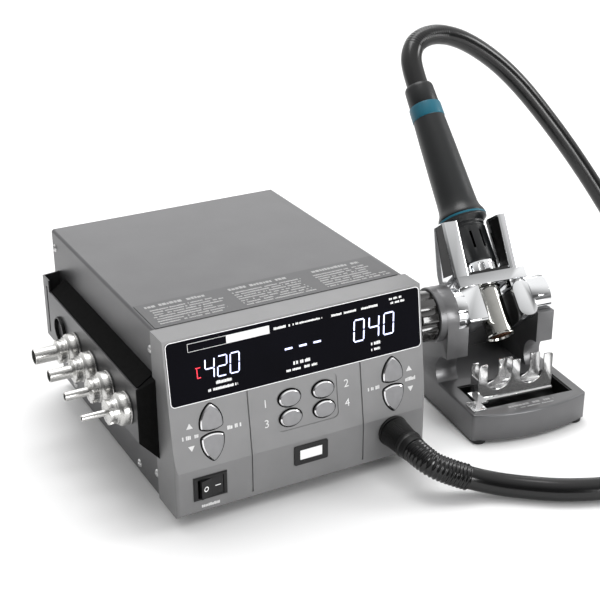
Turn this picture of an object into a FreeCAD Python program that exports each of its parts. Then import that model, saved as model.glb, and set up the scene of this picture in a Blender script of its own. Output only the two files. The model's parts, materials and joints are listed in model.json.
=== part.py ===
import FreeCAD, Part
import math
import os
from FreeCAD import Placement, Rotation
from FreeCAD import Vector as V

# Hot air station with nozzle holder, free-standing handle stand, handle and hose.
# Millimetres, +X right along the front, +Y to the back, +Z up. The origin is on the
# bench under the middle of the object (station, stand and handle, without the hose).

# ---------------------------------------------------------------- driving dimensions
CASE_W = 188.0          # sheet-metal case, width
CASE_D = 200.0          # case depth, seam to rear
CASE_H = 125.0          # case height without feet
SHEET = 1.2             # sheet thickness
FOOT_H = 8.0            # case feet
FASCIA_LOW = 31.6       # depth of the moulded front at the bottom
FASCIA_TOP = 19.3       # depth of the moulded front at the top
WAIST_Z = 34.5          # height of the crease between the upright and the leaning face
FASCIA_LIP = 1.5        # the front stands out this much at each side
WALL = 2.5              # moulding wall

STATION_AT = V(-147.5, -72.4, FOOT_H)   # case corner: front left bottom, at the seam
STAND_AT = V(84.1, -104.8, 3.0)         # stand's front left corner, above its feet
STAND_TURN = -6.0                       # the stand is turned a little towards the station

STAND_W = 96.0
STAND_D = 125.0
SLAB_H = 21.0
HINGE_Y = 64.3          # cradle hinge axis in the stand's frame
HINGE_Z = 75.0
CRADLE_X = 47.2         # middle of the cradle
LEAN = 44.0             # handle leans back from upright at rest
TUBE_R = 10.3           # heater tube
HOSE_D = 16.0

NOZZLE_Y = [19.0, 52.5, 86.0, 119.5]    # nozzles along the case side
SEAT_Y = NOZZLE_Y + [153.0]
SEAT_Z = 63.5
NOZZLE_BORE = [3.0, 5.0, 7.5, 10.0]
BRACKET_X = 13.0        # holder stands off the case side
NOZZLE_TIP = 45.0       # nozzle tips from the case side
CROWN_NOTCHES = 6       # notches in each nozzle's collar
SEAT_RING = 2.4         # depth of the rubber ring under each nozzle

SCREWS_YZ = [(4.5, 109.5), (4.5, 16.4), (37.6, 6.5), (171.0, 5.9), (195.0, 111.6)]

# ---------------------------------------------------------------- small helpers


def box(x0, x1, y0, y1, z0, z1):
    return Part.makeBox(x1 - x0, y1 - y0, z1 - z0, V(x0, y0, z0))


def rod(start, axis, radius, length):
    return Part.makeCylinder(radius, length, start, axis)


def polygon_face(points):
    return Part.Face(Part.makePolygon(points + [points[0]]))


def prism_x(yz, x0, x1):
    face = polygon_face([V(x0, y, z) for y, z in yz])
    return face.extrude(V(x1 - x0, 0, 0))


def turned(profile, start=V(0, 0, 0)):
    """Solid of revolution about Z from (radius, height) corners."""
    face = polygon_face([V(r, 0, z) for r, z in profile])
    solid = face.revolve(V(0, 0, 0), V(0, 0, 1), 360)
    solid.translate(start)
    return solid


def fused(shapes):
    result = shapes[0]
    if len(shapes) > 1:
        result = shapes[0].multiFuse(shapes[1:])
    return result.removeSplitter()


def cut(shape, tools):
    return shape.cut(Part.makeCompound(tools))


def group(shapes):
    return Part.makeCompound(shapes)


def edges_along(shape, direction, keep):
    """Straight edges along direction whose middle passes the keep test."""
    found = []
    for edge in shape.Edges:
        if not isinstance(edge.Curve, Part.Line):
            continue
        if edge.Curve.Direction.cross(direction).Length < 1e-6:
            middle = edge.valueAt((edge.FirstParameter + edge.LastParameter) / 2)
            if keep(middle):
                found.append(edge)
    return found


def rounded_slab(x0, x1, z0, z1, radius, y0, y1):
    """Plate in the XZ plane with rounded corners, from y0 to y1."""
    plate = box(x0, x1, y0, y1, z0, z1)
    return plate.makeFillet(radius, edges_along(plate, V(0, 1, 0), lambda p: True))


def flat_to_panel(shape):
    """From a drawing in XY (thickness along Z) to the XZ plane (thickness along -Y)."""
    shape.rotate(V(0, 0, 0), V(1, 0, 0), 90)
    return shape


# ---------------------------------------------------------------- frames
STATION = Placement(STATION_AT, Rotation())
STAND = Placement(STAND_AT, Rotation(V(0, 0, 1), STAND_TURN))
PANEL_LEAN = math.degrees(math.atan((FASCIA_LOW - FASCIA_TOP) / (CASE_H - WAIST_Z)))
LOWER_FACE = STATION * Placement(V(0, -FASCIA_LOW, 0), Rotation())
UPPER_FACE = STATION * Placement(V(0, -FASCIA_LOW, WAIST_Z), Rotation(V(1, 0, 0), -PANEL_LEAN))
UPPER_LOCAL = STATION.inverse() * UPPER_FACE
GUN = STAND * Placement(V(CRADLE_X, HINGE_Y, HINGE_Z), Rotation(V(1, 0, 0), -LEAN))


def place(shape, frame):
    moved = shape.copy()
    moved.Placement = frame * shape.Placement
    return moved


# ---------------------------------------------------------------- the case
WINDOW = (0.2, 187.8, 46.4, 89.7)           # display window: x and height up the face
SWITCH_XZ = (22.55, 20.0)
SENSOR_XZ = (97.7, 24.0)
OUTLET_XZ = (163.0, 22.6)
TRIANGLES = {                               # middle x, tip height, base height
    "temp_up_button": (26.4, 43.7, 27.4),
    "temp_down_button": (26.4, 3.7, 20.9),
    "air_up_button": (163.9, 43.7, 27.6),
    "air_down_button": (163.9, 3.9, 21.0),
}
CHANNELS = {
    "channel_1_button": (83.9, 33.1),
    "channel_2_button": (109.4, 33.1),
    "channel_3_button": (83.9, 19.0),
    "channel_4_button": (109.4, 19.0),
}
KEY_CORNER = 1.5            # corner radius of the triangular keys
BUTTON_GAP = 0.35


def cover():
    outer = box(0, CASE_W, 0, CASE_D, 0, CASE_H)
    top_edges = edges_along(outer, V(0, 1, 0), lambda p: p.z > CASE_H - 1)
    outer = outer.makeFillet(2.2, top_edges)
    inner = box(SHEET, CASE_W - SHEET, -1, CASE_D + 1, -1, CASE_H - SHEET)
    inner = inner.makeFillet(1.0, edges_along(inner, V(0, 1, 0), lambda p: p.z > CASE_H - 3))
    shell = outer.cut(inner)
    holes = []
    for y, z in SCREWS_YZ:
        holes.append(rod(V(-1, y, z), V(1, 0, 0), 1.6, CASE_W + 2))
    for row in range(6):
        for column in range(5):
            y = 60 + 22 * column
            z = 40 + 9 * row
            holes.append(box(CASE_W - 3, CASE_W + 1, y, y + 14, z, z + 2.4))
    return cut(shell, holes)


def chassis():
    """Base tray of the case, folded up at the sides and at the rear corners."""
    low = SHEET + 0.1
    right = CASE_W - low
    parts = [box(low, right, 0.5, CASE_D - 1.6, 0, 1.5)]
    for x in (low, right - SHEET):
        parts.append(box(x, x + SHEET, 12, CASE_D - 1.6, 1.5, 13))
        parts.append(box(x, x + SHEET, CASE_D - 13, CASE_D - 1.6, 13, CASE_H - 1.6))
    holes = []
    for y, z in SCREWS_YZ[2:]:
        holes.append(rod(V(-1, y, z), V(1, 0, 0), 1.6, CASE_W + 2))
    for row in range(7):
        y = 70 + 10 * row
        holes.append(box(98, 160, y, y + 4, -1, 3))
    return cut(fused(parts), holes)


def rear_panel():
    """Flat plate closing the back, with the inlet, the fuse holder and the air vents."""
    low = SHEET + 0.1
    plate = box(low, CASE_W - low, CASE_D - 1.5, CASE_D, 0, CASE_H - 1.6)
    holes = [box(19.8, 48.2, CASE_D - 3, CASE_D + 1, 17.8, 38.2)]
    holes.append(rod(V(66, CASE_D - 3, 28), V(0, 1, 0), 6.2, 5))
    for row in range(8):
        z = 30 + 9 * row
        holes.append(box(104, 160, CASE_D - 3, CASE_D + 1, z, z + 3))
    return cut(plate, holes)


def fascia_profile(inset):
    """Side view of the moulded front, drawn in by the wall on every side but the back."""
    lean = math.tan(math.radians(PANEL_LEAN))
    step = inset / math.cos(math.radians(PANEL_LEAN))
    low_y = -FASCIA_LOW + inset
    top_z = CASE_H - inset
    top_y = -FASCIA_LOW + lean * (top_z - WAIST_Z) + step
    waist = WAIST_Z + (inset - step) / lean
    back = 0.0 if inset == 0 else 1.0
    return [(back, inset), (low_y + 2.8, inset), (low_y, inset + 2.8), (low_y, waist),
            (top_y, top_z), (back, top_z)]


def triangle_wire(name, grow):
    """Triangle with bulging sides: three side arcs and three corner arcs, all tangent."""
    middle, tip, base = TRIANGLES[name]
    way = 1 if tip > base else -1
    radius = KEY_CORNER + grow
    corners = [V(middle - 6.2, base + 1.0 * way, 0), V(middle + 6.2, base + 1.0 * way, 0),
               V(middle, tip - 2.0 * way, 0)]
    sides = []
    for i, bulge in enumerate((1.4, 2.0, 2.0)):
        start = corners[i]
        end = corners[(i + 1) % 3]
        run = end.sub(start)
        outward = V(run.y, -run.x, 0).normalize().multiply(way)
        curve = (run.Length ** 2 / 4 + bulge ** 2) / (2 * bulge)
        centre = start.add(end).multiply(0.5).add(V(outward).multiply(bulge - curve))
        rays = [start.sub(centre).normalize(), V(outward), end.sub(centre).normalize()]
        sides.append([centre.add(V(ray).multiply(curve + radius)) for ray in rays] + rays)
    edges = []
    for i, side in enumerate(sides):
        following = sides[(i + 1) % 3]
        corner = corners[(i + 1) % 3]
        between = side[5].add(following[3]).normalize()
        edges.append(Part.Arc(side[0], side[1], side[2]).toShape())
        edges.append(Part.Arc(side[2], corner.add(between.multiply(radius)), following[0]).toShape())
    return Part.Wire(edges)


def oval_wire(name, grow):
    x, z = CHANNELS[name]
    ellipse = Part.Ellipse(V(x, z, 0), 7.9 + grow, 5.7 + grow)
    return Part.Wire([ellipse.toShape()])


def button_wire(name, grow):
    if name in TRIANGLES:
        return triangle_wire(name, grow)
    return oval_wire(name, grow)


def upright_prism(wire, y0, y1):
    """Extrude a wire drawn in XY so that it stands in XZ, from y0 to y1."""
    flat = Part.Face(wire)
    flat.translate(V(0, 0, -y1))
    return flat_to_panel(flat.extrude(V(0, 0, y1 - y0)))


def button(name):
    """Cap with a bevelled rim, a flange that keeps it behind the panel, and a stem."""
    cap = upright_prism(button_wire(name, 0), -1.0, 2.8)
    rim = button_wire(name, 0)
    rim.translate(V(0, 0, 1.0))
    top = button_wire(name, -0.7)
    top.translate(V(0, 0, 1.7))
    bevel = flat_to_panel(Part.makeLoft([rim, top], True, True))
    flange = upright_prism(button_wire(name, 1.0), 2.8, 3.8)
    middle = cap.BoundBox.Center
    stem = rod(V(middle.x, 3.8, middle.z), V(0, 1, 0), 2.2, 2.2)
    return fused([cap, bevel, flange, stem])


def front_panel():
    outer = prism_x(fascia_profile(0), -FASCIA_LIP, CASE_W + FASCIA_LIP)
    corners = edges_along(outer, V(0, 0, 1), lambda p: p.y < -5)
    outer = outer.makeFillet(2.5, corners)
    inner = prism_x(fascia_profile(WALL), WALL - FASCIA_LIP, CASE_W + FASCIA_LIP - WALL)
    upper = []
    upper.append(rounded_slab(*WINDOW, 3.2, -3, 1.6))
    upper.append(box(12, 176, -1, 5, 52, 86))
    upper.append(rounded_slab(73.5, 120.3, 10.3, 43.0, 4, -3, 0.5))
    for x in (53.4, 138.8):
        upper.append(box(x - 0.6, x + 0.6, -1, 0.9, -1, WINDOW[2] - 0.8))
    for name in list(TRIANGLES) + list(CHANNELS):
        upper.append(upright_prism(button_wire(name, BUTTON_GAP), -1, 5))
    holes = [place(tool, UPPER_LOCAL) for tool in upper]
    lower = []
    lower.append(box(SWITCH_XZ[0] - 11.5, SWITCH_XZ[0] + 11.5, -1, 5, 11.9, 28.1))
    lower.append(box(SENSOR_XZ[0] - 11, SENSOR_XZ[0] + 11, -1, 5, 18.5, 29.5))
    lower.append(rod(V(OUTLET_XZ[0], -1, OUTLET_XZ[1]), V(0, 1, 0), 9.1, 6))
    for x, foot in ((53.4, 6), (138.8, 6)):
        lower.append(box(x - 0.6, x + 0.6, -1, 0.9, foot, WAIST_Z + 1))
    for tool in lower:
        tool.translate(V(0, -FASCIA_LOW, 0))
        holes.append(tool)
    shell = cut(outer.cut(inner), holes)
    ears = []
    for y, z in SCREWS_YZ[:2]:
        root = box(0.5, 3.3, -6, -0.1, z - 8, z + 8)
        tongue = box(SHEET + 0.1, 3.3, -0.2, 9.5, z - 8, z + 8)
        ear = fused([root, tongue]).cut(rod(V(0, y, z), V(1, 0, 0), 1.6, 4))
        ears.append(ear)
        ears.append(ear.mirror(V(CASE_W / 2, 0, 0), V(1, 0, 0)))
    return fused([shell] + ears)


def display_window():
    x0, x1, z0, z1 = WINDOW
    return rounded_slab(x0 + 0.15, x1 - 0.15, z0 + 0.15, z1 - 0.15, 3.0, -0.5, 1.6)


DISPLAYS = [(37.5, 32.0), (94.0, 32.0), (151.5, 38.0)]      # middle x and width of each


def control_board():
    board = box(8, 180, 10, 11.6, 5, 86)
    pieces = [board]
    for x, width in DISPLAYS:
        pieces.append(box(x - width / 2, x + width / 2, 3, 9.99, 58, 82))
    for name in list(TRIANGLES) + list(CHANNELS):
        middle = button(name).BoundBox.Center
        pieces.append(box(middle.x - 3, middle.x + 3, 6.9, 9.99, middle.z - 3, middle.z + 3))
    return group(pieces)


def switch_body():
    x, z = SWITCH_XZ
    bezel = box(x - 12.05, x + 12.05, -1.4, 0, z - 8.7, z + 8.7)
    front = [e for e in bezel.Edges if abs(e.CenterOfMass.y + 1.4) < 1e-3]
    bezel = bezel.makeChamfer(0.7, front)
    body = box(x - 11.3, x + 11.3, 0, 15, z - 8.0, z + 8.0)
    whole = fused([bezel, body])
    cavity = box(x - 9.4, x + 9.4, -3, 8, z - 6.9, z + 6.9)
    pins = rod(V(x, 1, z - 7.6), V(0, 0, 1), 1.05, 15.2)
    whole = cut(whole, [cavity, pins])
    blades = [box(x + dx - 0.4, x + dx + 0.4, 15, 23, z - 3, z + 3) for dx in (-7, 0, 7)]
    return fused([whole] + blades)


def power_rocker():
    x, z = SWITCH_XZ
    outline = [(-8.4, -2.6), (0, -1.5), (8.4, -2.6), (8.4, 0.8), (3.5, 5.5), (-3.5, 5.5), (-8.4, 0.8)]
    face = polygon_face([V(x + px, py, z - 6.7) for px, py in outline])
    rocker = face.extrude(V(0, 0, 13.4))
    pins = rod(V(x, 1, z - 7.5), V(0, 0, 1), 1.0, 15.0)
    whole = fused([rocker, pins])
    whole.rotate(V(x, 1, z), V(0, 0, 1), 10)
    return whole


def sensor_bezel():
    x, z = SENSOR_XZ
    flange = rounded_slab(x - 12.9, x + 12.9, z - 7.3, z + 7.3, 1.2, -0.9, 0)
    body = box(x - 10.9, x + 10.9, 0, 6, z - 5.4, z + 5.4)
    window = box(x - 8.6, x + 8.6, -2, 4, z - 3.8, z + 3.8)
    return fused([flange, body]).cut(window)


def sensor_lens():
    x, z = SENSOR_XZ
    return rounded_slab(x - 8.5, x + 8.5, z - 3.7, z + 3.7, 0.6, -0.6, 3.9)


def guide_plate():
    return box(2.6, CASE_W - 4, 0.6, 38.5, CASE_H, CASE_H + 0.4)


def case_screws():
    screws = []
    for y, z in SCREWS_YZ:
        for side in (0, 1):
            shank = rod(V(-0.01, y, z), V(1, 0, 0), 1.5, 3.4)
            head = Part.makeSphere(3.6, V(1.9, y, z))
            head = head.common(box(-3, 0, y - 4, y + 4, z - 4, z + 4))
            slot = box(-3, -1.0, y - 0.45, y + 0.45, z - 2.2, z + 2.2)
            cross = box(-3, -1.0, y - 2.2, y + 2.2, z - 0.45, z + 0.45)
            screw = fused([head, shank]).cut(fused([slot, cross]))
            if side:
                screw = screw.mirror(V(CASE_W / 2, 0, 0), V(1, 0, 0))
            screws.append(screw)
    return group(screws)


def case_feet():
    feet = []
    for x in (22, CASE_W - 22):
        for y in (20, CASE_D - 24):
            foot = turned([(0, -FOOT_H), (7.4, -FOOT_H), (8.4, -FOOT_H + 1), (9.5, 0), (0, 0)])
            foot.translate(V(x, y, 0))
            feet.append(foot)
    return group(feet)


# ---------------------------------------------------------------- nozzle holder


def nozzle_bracket():
    x = BRACKET_X
    t = SHEET
    plate = box(-x, -x + t, 1, 190, 45, 85)
    tab = box(-x, -x + t, 177, 190, 85, 94)
    low = polygon_face([V(0, 1, 31.5), V(-x, 1, 45), V(-x + t, 1, 45.4), V(0, 1, 33.1)])
    slope = low.extrude(V(0, 189, 0))
    ends = []
    for y, top in ((1, 85), (190 - t, 94)):
        trapezoid = polygon_face([V(0, y, 31.5), V(-x, y, 45), V(-x, y, top), V(0, y, top + 1)])
        ends.append(trapezoid.extrude(V(0, t, 0)))
    body = fused([plate, tab, slope] + ends)
    return body.cut(box(-x - 1, -x + 2, 180.5, 183, 50, 88))


def bracket_liner():
    """Foam along the top of the holder, and a foam cap over its front end."""
    outer = -BRACKET_X + SHEET + 0.05
    section = polygon_face([V(outer, 2.3, 76), V(-0.05, 2.3, 76), V(-0.05, 2.3, 93.5), V(outer, 2.3, 85.3)])
    strip = section.extrude(V(0, 173.7, 0))
    inner = -FASCIA_LIP - 0.1
    wedge = [(-BRACKET_X, 0.95), (-BRACKET_X, -0.3), (inner, -5.5), (inner, 0.95)]
    cap = polygon_face([V(x, y, 33) for x, y in wedge]).extrude(V(0, 0, 60))
    outline = [(-BRACKET_X, 45.2), (inner, 33.5), (inner, 92), (-BRACKET_X, 84.6)]
    front = polygon_face([V(x, -6, z) for x, z in outline]).extrude(V(0, 8, 0))
    return group([strip, cap.common(front)])


def nozzle_seats():
    seats = []
    for y in SEAT_Y:
        ring = rod(V(-BRACKET_X - SEAT_RING, y, SEAT_Z), V(1, 0, 0), 10.3, SEAT_RING)
        ring = ring.makeChamfer(0.4, [e for e in ring.Edges if e.CenterOfMass.x < -BRACKET_X - 2])
        seats.append(ring.cut(rod(V(-BRACKET_X - 5, y, SEAT_Z), V(1, 0, 0), 9.2, 6)))
    return group(seats)


def nozzle(index):
    """One pull-off nozzle: smooth skirt over the seat, crown collar, then the outlet tube."""
    tube = NOZZLE_BORE[index] / 2 + 0.7
    length = NOZZLE_TIP - BRACKET_X - 0.3
    outer = [(10.9, 0), (11.4, 0.6), (11.4, 8.0), (10.6, 9.2), (8.8, 9.6), (8.8, 14.6),
             (tube + 0.7, 15.2), (tube, 16.0), (tube, length)]
    inner = [(tube - 0.7, length), (tube - 0.7, 15.0), (7.4, 12.8), (7.4, 8.6), (10.6, 7.4), (10.6, 0)]
    notches = []
    for k in range(CROWN_NOTCHES):
        notch = box(7.9, 10, -1.3, 1.3, 12.2, 16)
        notch.rotate(V(0, 0, 0), V(0, 0, 1), 360 / CROWN_NOTCHES * k + 30)
        notches.append(notch)
    body = cut(turned(outer + inner), notches)
    body.rotate(V(0, 0, 0), V(0, 1, 0), -90)
    body.translate(V(-BRACKET_X - 0.3, NOZZLE_Y[index], SEAT_Z))
    return body


# ---------------------------------------------------------------- inside the case
BLOWER_AT = V(128, 120, 60)
BLOWER_R = 42.0


def blower_housing():
    x, y, z = BLOWER_AT
    drum = rod(V(x, y, z - 18), V(0, 0, 1), BLOWER_R, 36)
    neck = box(x + 14, x + 36, y - 74, y, z - 14, z + 8)
    drum = fused([drum, neck])
    inside = rod(V(x, y, z - 16), V(0, 0, 1), BLOWER_R - 2, 32)
    duct = box(x + 16, x + 34, y - 75, y, z - 12, z + 6)
    mouth = rod(V(x, y, z - 20), V(0, 0, 1), 20, 5)
    bore = rod(V(x, y, z + 10), V(0, 0, 1), 7.0, 12)
    shell = cut(drum, [inside, duct, mouth, bore])
    legs = [box(x + dx - 3, x + dx + 3, y + dy - 3, y + dy + 3, 1.5, z - 17.9)
            for dx, dy in ((-28, -22), (-28, 22), (22, 28))]
    return fused([shell] + legs)


def blower_impeller():
    x, y, z = BLOWER_AT
    hub = rod(V(x, y, z - 10), V(0, 0, 1), 9, 20)
    plate = rod(V(x, y, z + 8), V(0, 0, 1), 36, 2)
    blades = []
    for k in range(16):
        blade = box(8, 35.5, -0.8, 0.8, -10, 8.2)
        blade.rotate(V(0, 0, 0), V(0, 0, 1), 22.5 * k)
        blade.translate(V(x, y, z))
        blades.append(blade)
    whole = fused([hub, plate] + blades)
    return whole.cut(rod(V(x, y, z - 11), V(0, 0, 1), 2.55, 22))


def blower_motor():
    x, y, z = BLOWER_AT
    can = rod(V(x, y, z + 18.05), V(0, 0, 1), 19, 28)
    can = can.makeFillet(2.5, [e for e in can.Edges if e.CenterOfMass.z > z + 46])
    shaft = rod(V(x, y, z - 12), V(0, 0, 1), 2.5, 31)
    return fused([can, shaft])


def air_pipe():
    """Duct from the blower's neck down to the hose outlet in the front."""
    x, y, z = BLOWER_AT
    neck_x = x + 25
    elbow = box(neck_x - 10, OUTLET_XZ[0] + 10, y - 88, y - 74.1, 12, z + 7)
    hollow = box(neck_x - 8, OUTLET_XZ[0] + 8, y - 86, y - 73, 14, z + 5)
    spout = rod(V(OUTLET_XZ[0], -20, OUTLET_XZ[1]), V(0, 1, 0), 7.5, y - 88 + 20.5)
    bore = rod(V(OUTLET_XZ[0], -21, OUTLET_XZ[1]), V(0, 1, 0), 6.3, y - 88 + 24)
    return cut(fused([elbow, spout]), [hollow, bore])


def transformer():
    core = box(16, 74, 110, 160, 6, 54)
    windings = box(22, 68, 100, 170, 12, 48)
    base = box(10, 80, 118, 152, 1.6, 6)
    return fused([core, windings, base])


def main_board():
    plate = box(12, 92, 14, 92, 12, 13.6)
    posts = [rod(V(x, y, 1.6), V(0, 0, 1), 3, 10.4) for x in (17, 87) for y in (19, 87)]
    parts = [plate] + posts
    parts.append(box(24, 44, 60, 64, 13.6, 38))
    for x, y, radius, height in ((60, 30, 6, 22), (74, 30, 5, 16), (74, 48, 5, 16)):
        parts.append(rod(V(x, y, 13.6), V(0, 0, 1), radius, height))
    parts.append(box(24, 40, 26, 40, 13.6, 17))
    return fused(parts)


def mains_inlet():
    y = CASE_D
    flange = rounded_slab(16, 52, 14.5, 41.5, 3, y, y + 3)
    body = box(20, 48, y - 22, y, 18, 38)
    well = box(23, 45, y - 16, y + 4, 20.5, 35.5)
    whole = fused([flange, body]).cut(well)
    pins = [box(x - 1, x + 1, y - 17, y - 3, z - 2, z + 2) for x, z in ((27, 26), (41, 26), (34, 31))]
    return fused([whole] + pins)


def fuse_holder():
    cap = rod(V(66, CASE_D, 28), V(0, 1, 0), 7.6, 3.0)
    slot = box(61, 71, CASE_D + 2, CASE_D + 4, 27.3, 28.7)
    body = rod(V(66, CASE_D - 30, 28), V(0, 1, 0), 6.0, 30)
    return fused([cap.cut(slot), body])


# ---------------------------------------------------------------- stand
EAR_LEFT = (0.0, 17.5)
EAR_RIGHT = (77.0, 91.0)
SADDLE_R = 17.0
TRAY = (10.0, 88.0, 6.0, 44.0, 7.0)


def slab():
    front = Part.Arc(V(0, 0, 0), V(STAND_W / 2, -9.0, 0), V(STAND_W, 0, 0)).toShape()
    lines = [Part.makeLine(V(STAND_W, 0, 0), V(STAND_W, STAND_D, 0)),
             Part.makeLine(V(STAND_W, STAND_D, 0), V(0, STAND_D, 0)),
             Part.makeLine(V(0, STAND_D, 0), V(0, 0, 0))]
    block = Part.Face(Part.Wire([front] + lines)).extrude(V(0, 0, SLAB_H))
    block = block.makeFillet(3.0, edges_along(block, V(0, 0, 1), lambda p: True))
    top = [e for e in block.Edges if e.BoundBox.ZMin > SLAB_H - 0.01]
    return block.makeFillet(1.4, top)


def side_wall(x0, x1):
    """One upright of the casting in side view: waist, ear front, round top, sloped back."""
    outline = [
        Part.Arc(V(x0, 54, SLAB_H - 1), V(x0, 59.5, 33), V(x0, 43.3, 46)).toShape(),
        Part.makeLine(V(x0, 43.3, 46), V(x0, 43.3, HINGE_Z)),
        Part.makeLine(V(x0, 43.3, HINGE_Z), V(x0, 85.3, HINGE_Z)),
        Part.makeLine(V(x0, 85.3, HINGE_Z), V(x0, 113, SLAB_H - 1)),
        Part.makeLine(V(x0, 113, SLAB_H - 1), V(x0, 54, SLAB_H - 1)),
    ]
    return Part.Face(Part.Wire(outline)).extrude(V(x1 - x0, 0, 0))


def stand_base():
    left = side_wall(*EAR_LEFT)
    disc = rod(V(-1.0, HINGE_Y, HINGE_Z), V(1, 0, 0), 21.0, 10.5)
    right = side_wall(*EAR_RIGHT)
    back = prism_x([(103, SLAB_H - 1), (113, SLAB_H - 1), (98.9, 48), (91, 48)], 17.0, 77.5)
    body = fused([slab(), left, disc, right, back])
    tools = []
    tools.append(box(TRAY[0], TRAY[1], TRAY[2], TRAY[3], TRAY[4], SLAB_H + 1))
    tools.append(rod(V(9.5, HINGE_Y, HINGE_Z), V(1, 0, 0), SADDLE_R, 9))
    tools.append(rod(V(76, HINGE_Y, HINGE_Z), V(1, 0, 0), SADDLE_R, 16))
    tools.append(box(9.5, 18.5, 40, 100, 70, 100))
    tools.append(box(76, 92, 40, 100, 71, 100))
    tools.append(rod(V(-2, HINGE_Y, HINGE_Z), V(1, 0, 0), 4.05, 12))
    return cut(body, tools)


STAND_FEET = [(6.6, 2.8), (88.6, 3.0), (9.0, STAND_D - 8), (STAND_W - 9.0, STAND_D - 8)]


def stand_feet():
    feet = []
    for x, y in STAND_FEET:
        foot = turned([(0, -3), (4.9, -3), (5.6, -2.2), (5.6, 0), (0, 0)])
        foot.translate(V(x, y, 0))
        feet.append(foot)
    return group(feet)


def tray_liner():
    x0, x1, y0, y1, z0 = TRAY
    outer = box(x0, x1, y0, y1, z0, 20.2)
    return outer.cut(box(x0 + 1.4, x1 - 1.4, y0 + 1.4, y1 - 1.4, z0 + 1.5, 22))


PULLER_X = (18.0, 81.0)
PULLER_Y = (25.0, 37.2)
PULLER_T = 1.3
PULLER_FLOOR = 18.6
FRONT_FINGERS = [(18.0, 24.8), (46.2, 52.6), (73.4, 81.0)]
BACK_FINGERS = [(18.0, 23.6), (41.0, 52.5), (68.5, 77.0)]
FRONT_TOP = 45.4
BACK_TOP = 42.0
TRAY_FLOOR = 8.6


def fingered_wall(fingers, y, bottom, top):
    """Upright wall with a round-bottomed notch between each two fingers."""
    wall = box(fingers[0][0], fingers[-1][1], y, y + PULLER_T, bottom, top)
    wall = wall.makeFillet(2.0, edges_along(wall, V(0, 1, 0), lambda p: p.z > top - 1))
    notches = []
    for i in range(len(fingers) - 1):
        left = fingers[i][1]
        right = fingers[i + 1][0]
        radius = (right - left) / 2
        centre = PULLER_FLOOR + 4.4 + radius
        notches.append(rod(V(left + radius, y - 1, centre), V(0, 1, 0), radius, PULLER_T + 2))
        notches.append(box(left, right, y - 1, y + PULLER_T + 1, centre, top + 1))
    return cut(wall, notches)


def nozzle_puller():
    """Folded channel over the tray whose fingers hold a hot nozzle while the handle is drawn out."""
    x0, x1 = PULLER_X
    y0, y1 = PULLER_Y
    t = PULLER_T
    front = fingered_wall(FRONT_FINGERS, y0, 16.2, FRONT_TOP)
    back = fingered_wall(BACK_FINGERS, y1 - t, TRAY_FLOOR, BACK_TOP)
    floor = box(x0, x1, y0, y1, PULLER_FLOOR, PULLER_FLOOR + t)
    strip = box(x0 + 0.5, x1, y0 - 2.4, y0 + t, 16.2, 16.2 + t)
    foot = box(x0 + 8, BACK_FINGERS[-1][1], y1 - t, 42.4, TRAY_FLOOR, TRAY_FLOOR + t)
    cheek = box(x0, x0 + t, y0, y1, PULLER_FLOOR, 33)
    arm = box(11.6, x0 + t, 13.0, 30, 21.05, 21.05 + t)
    tab = box(2.6, 13.2, 3.8, 17.0, 21.05, 21.05 + t)
    tab = tab.makeFillet(1.5, edges_along(tab, V(0, 0, 1), lambda p: p.x < 5))
    holes = [rod(V(x, (y0 + y1) / 2, PULLER_FLOOR - 1), V(0, 0, 1), 3.2, 4) for x in (35.5, 63.0)]
    return cut(fused([front, back, floor, strip, foot, cheek, arm, tab]), holes)


def puller_screws():
    screws = []
    for x in (32, 68):
        head = rod(V(x, 39.8, TRAY_FLOOR + PULLER_T), V(0, 0, 1), 2.4, 1.8)
        socket = rod(V(x, 39.8, TRAY_FLOOR + PULLER_T + 0.8), V(0, 0, 1), 1.1, 2)
        screws.append(head.cut(socket))
    return group(screws)


# ---------------------------------------------------------------- cradle, in the handle's frame
SEAT_W = (11.8, 20.2)       # the seat block along the handle
SEAT_FRONT = -16.5
PRONG_LEAN = 12.0           # the prongs stand this much more upright than the handle
PRONG_TOP = 62.5            # before they are turned
LEFT_PRONG = (-31.2, -17.5, 30.0)       # side faces and depth
RIGHT_PRONG = (16.6, 25.2, 24.0)
LEFT_CHEEK = (-28.6, -13.5)
RIGHT_CHEEK = (13.6, 29.3)
PRONG_AXIS = V(0, SEAT_FRONT, SEAT_W[1])


def tilted(shape):
    """Turn a shape drawn along the handle to the lean of the prongs."""
    shape.rotate(PRONG_AXIS, V(1, 0, 0), PRONG_LEAN)
    return shape


def prong(span, low, corner):
    x0, x1, depth = span
    block = box(x0, x1, SEAT_FRONT, SEAT_FRONT + depth, low, PRONG_TOP)
    block = block.makeFillet(corner, edges_along(block, V(0, 0, 1), lambda p: True))
    return tilted(block)


def pad_outline(x, depth_low, depth_top, inset):
    """Inlay seen from the side: it starts near the front edge and narrows to the top."""
    front = SEAT_FRONT + 1.6 + inset
    low = SEAT_W[1] + 2.5 + inset
    top = PRONG_TOP - 1.5 - inset
    back_low = SEAT_FRONT + depth_low - inset
    back_top = SEAT_FRONT + depth_top - inset
    return [V(x, front, low), V(x, back_low, low), V(x, back_top, top), V(x, front, top)]


def inlay(x, depth_low, depth_top, inset, thickness):
    face = polygon_face(pad_outline(x, depth_low, depth_top, inset))
    return tilted(face.extrude(V(thickness, 0, 0)))


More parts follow.
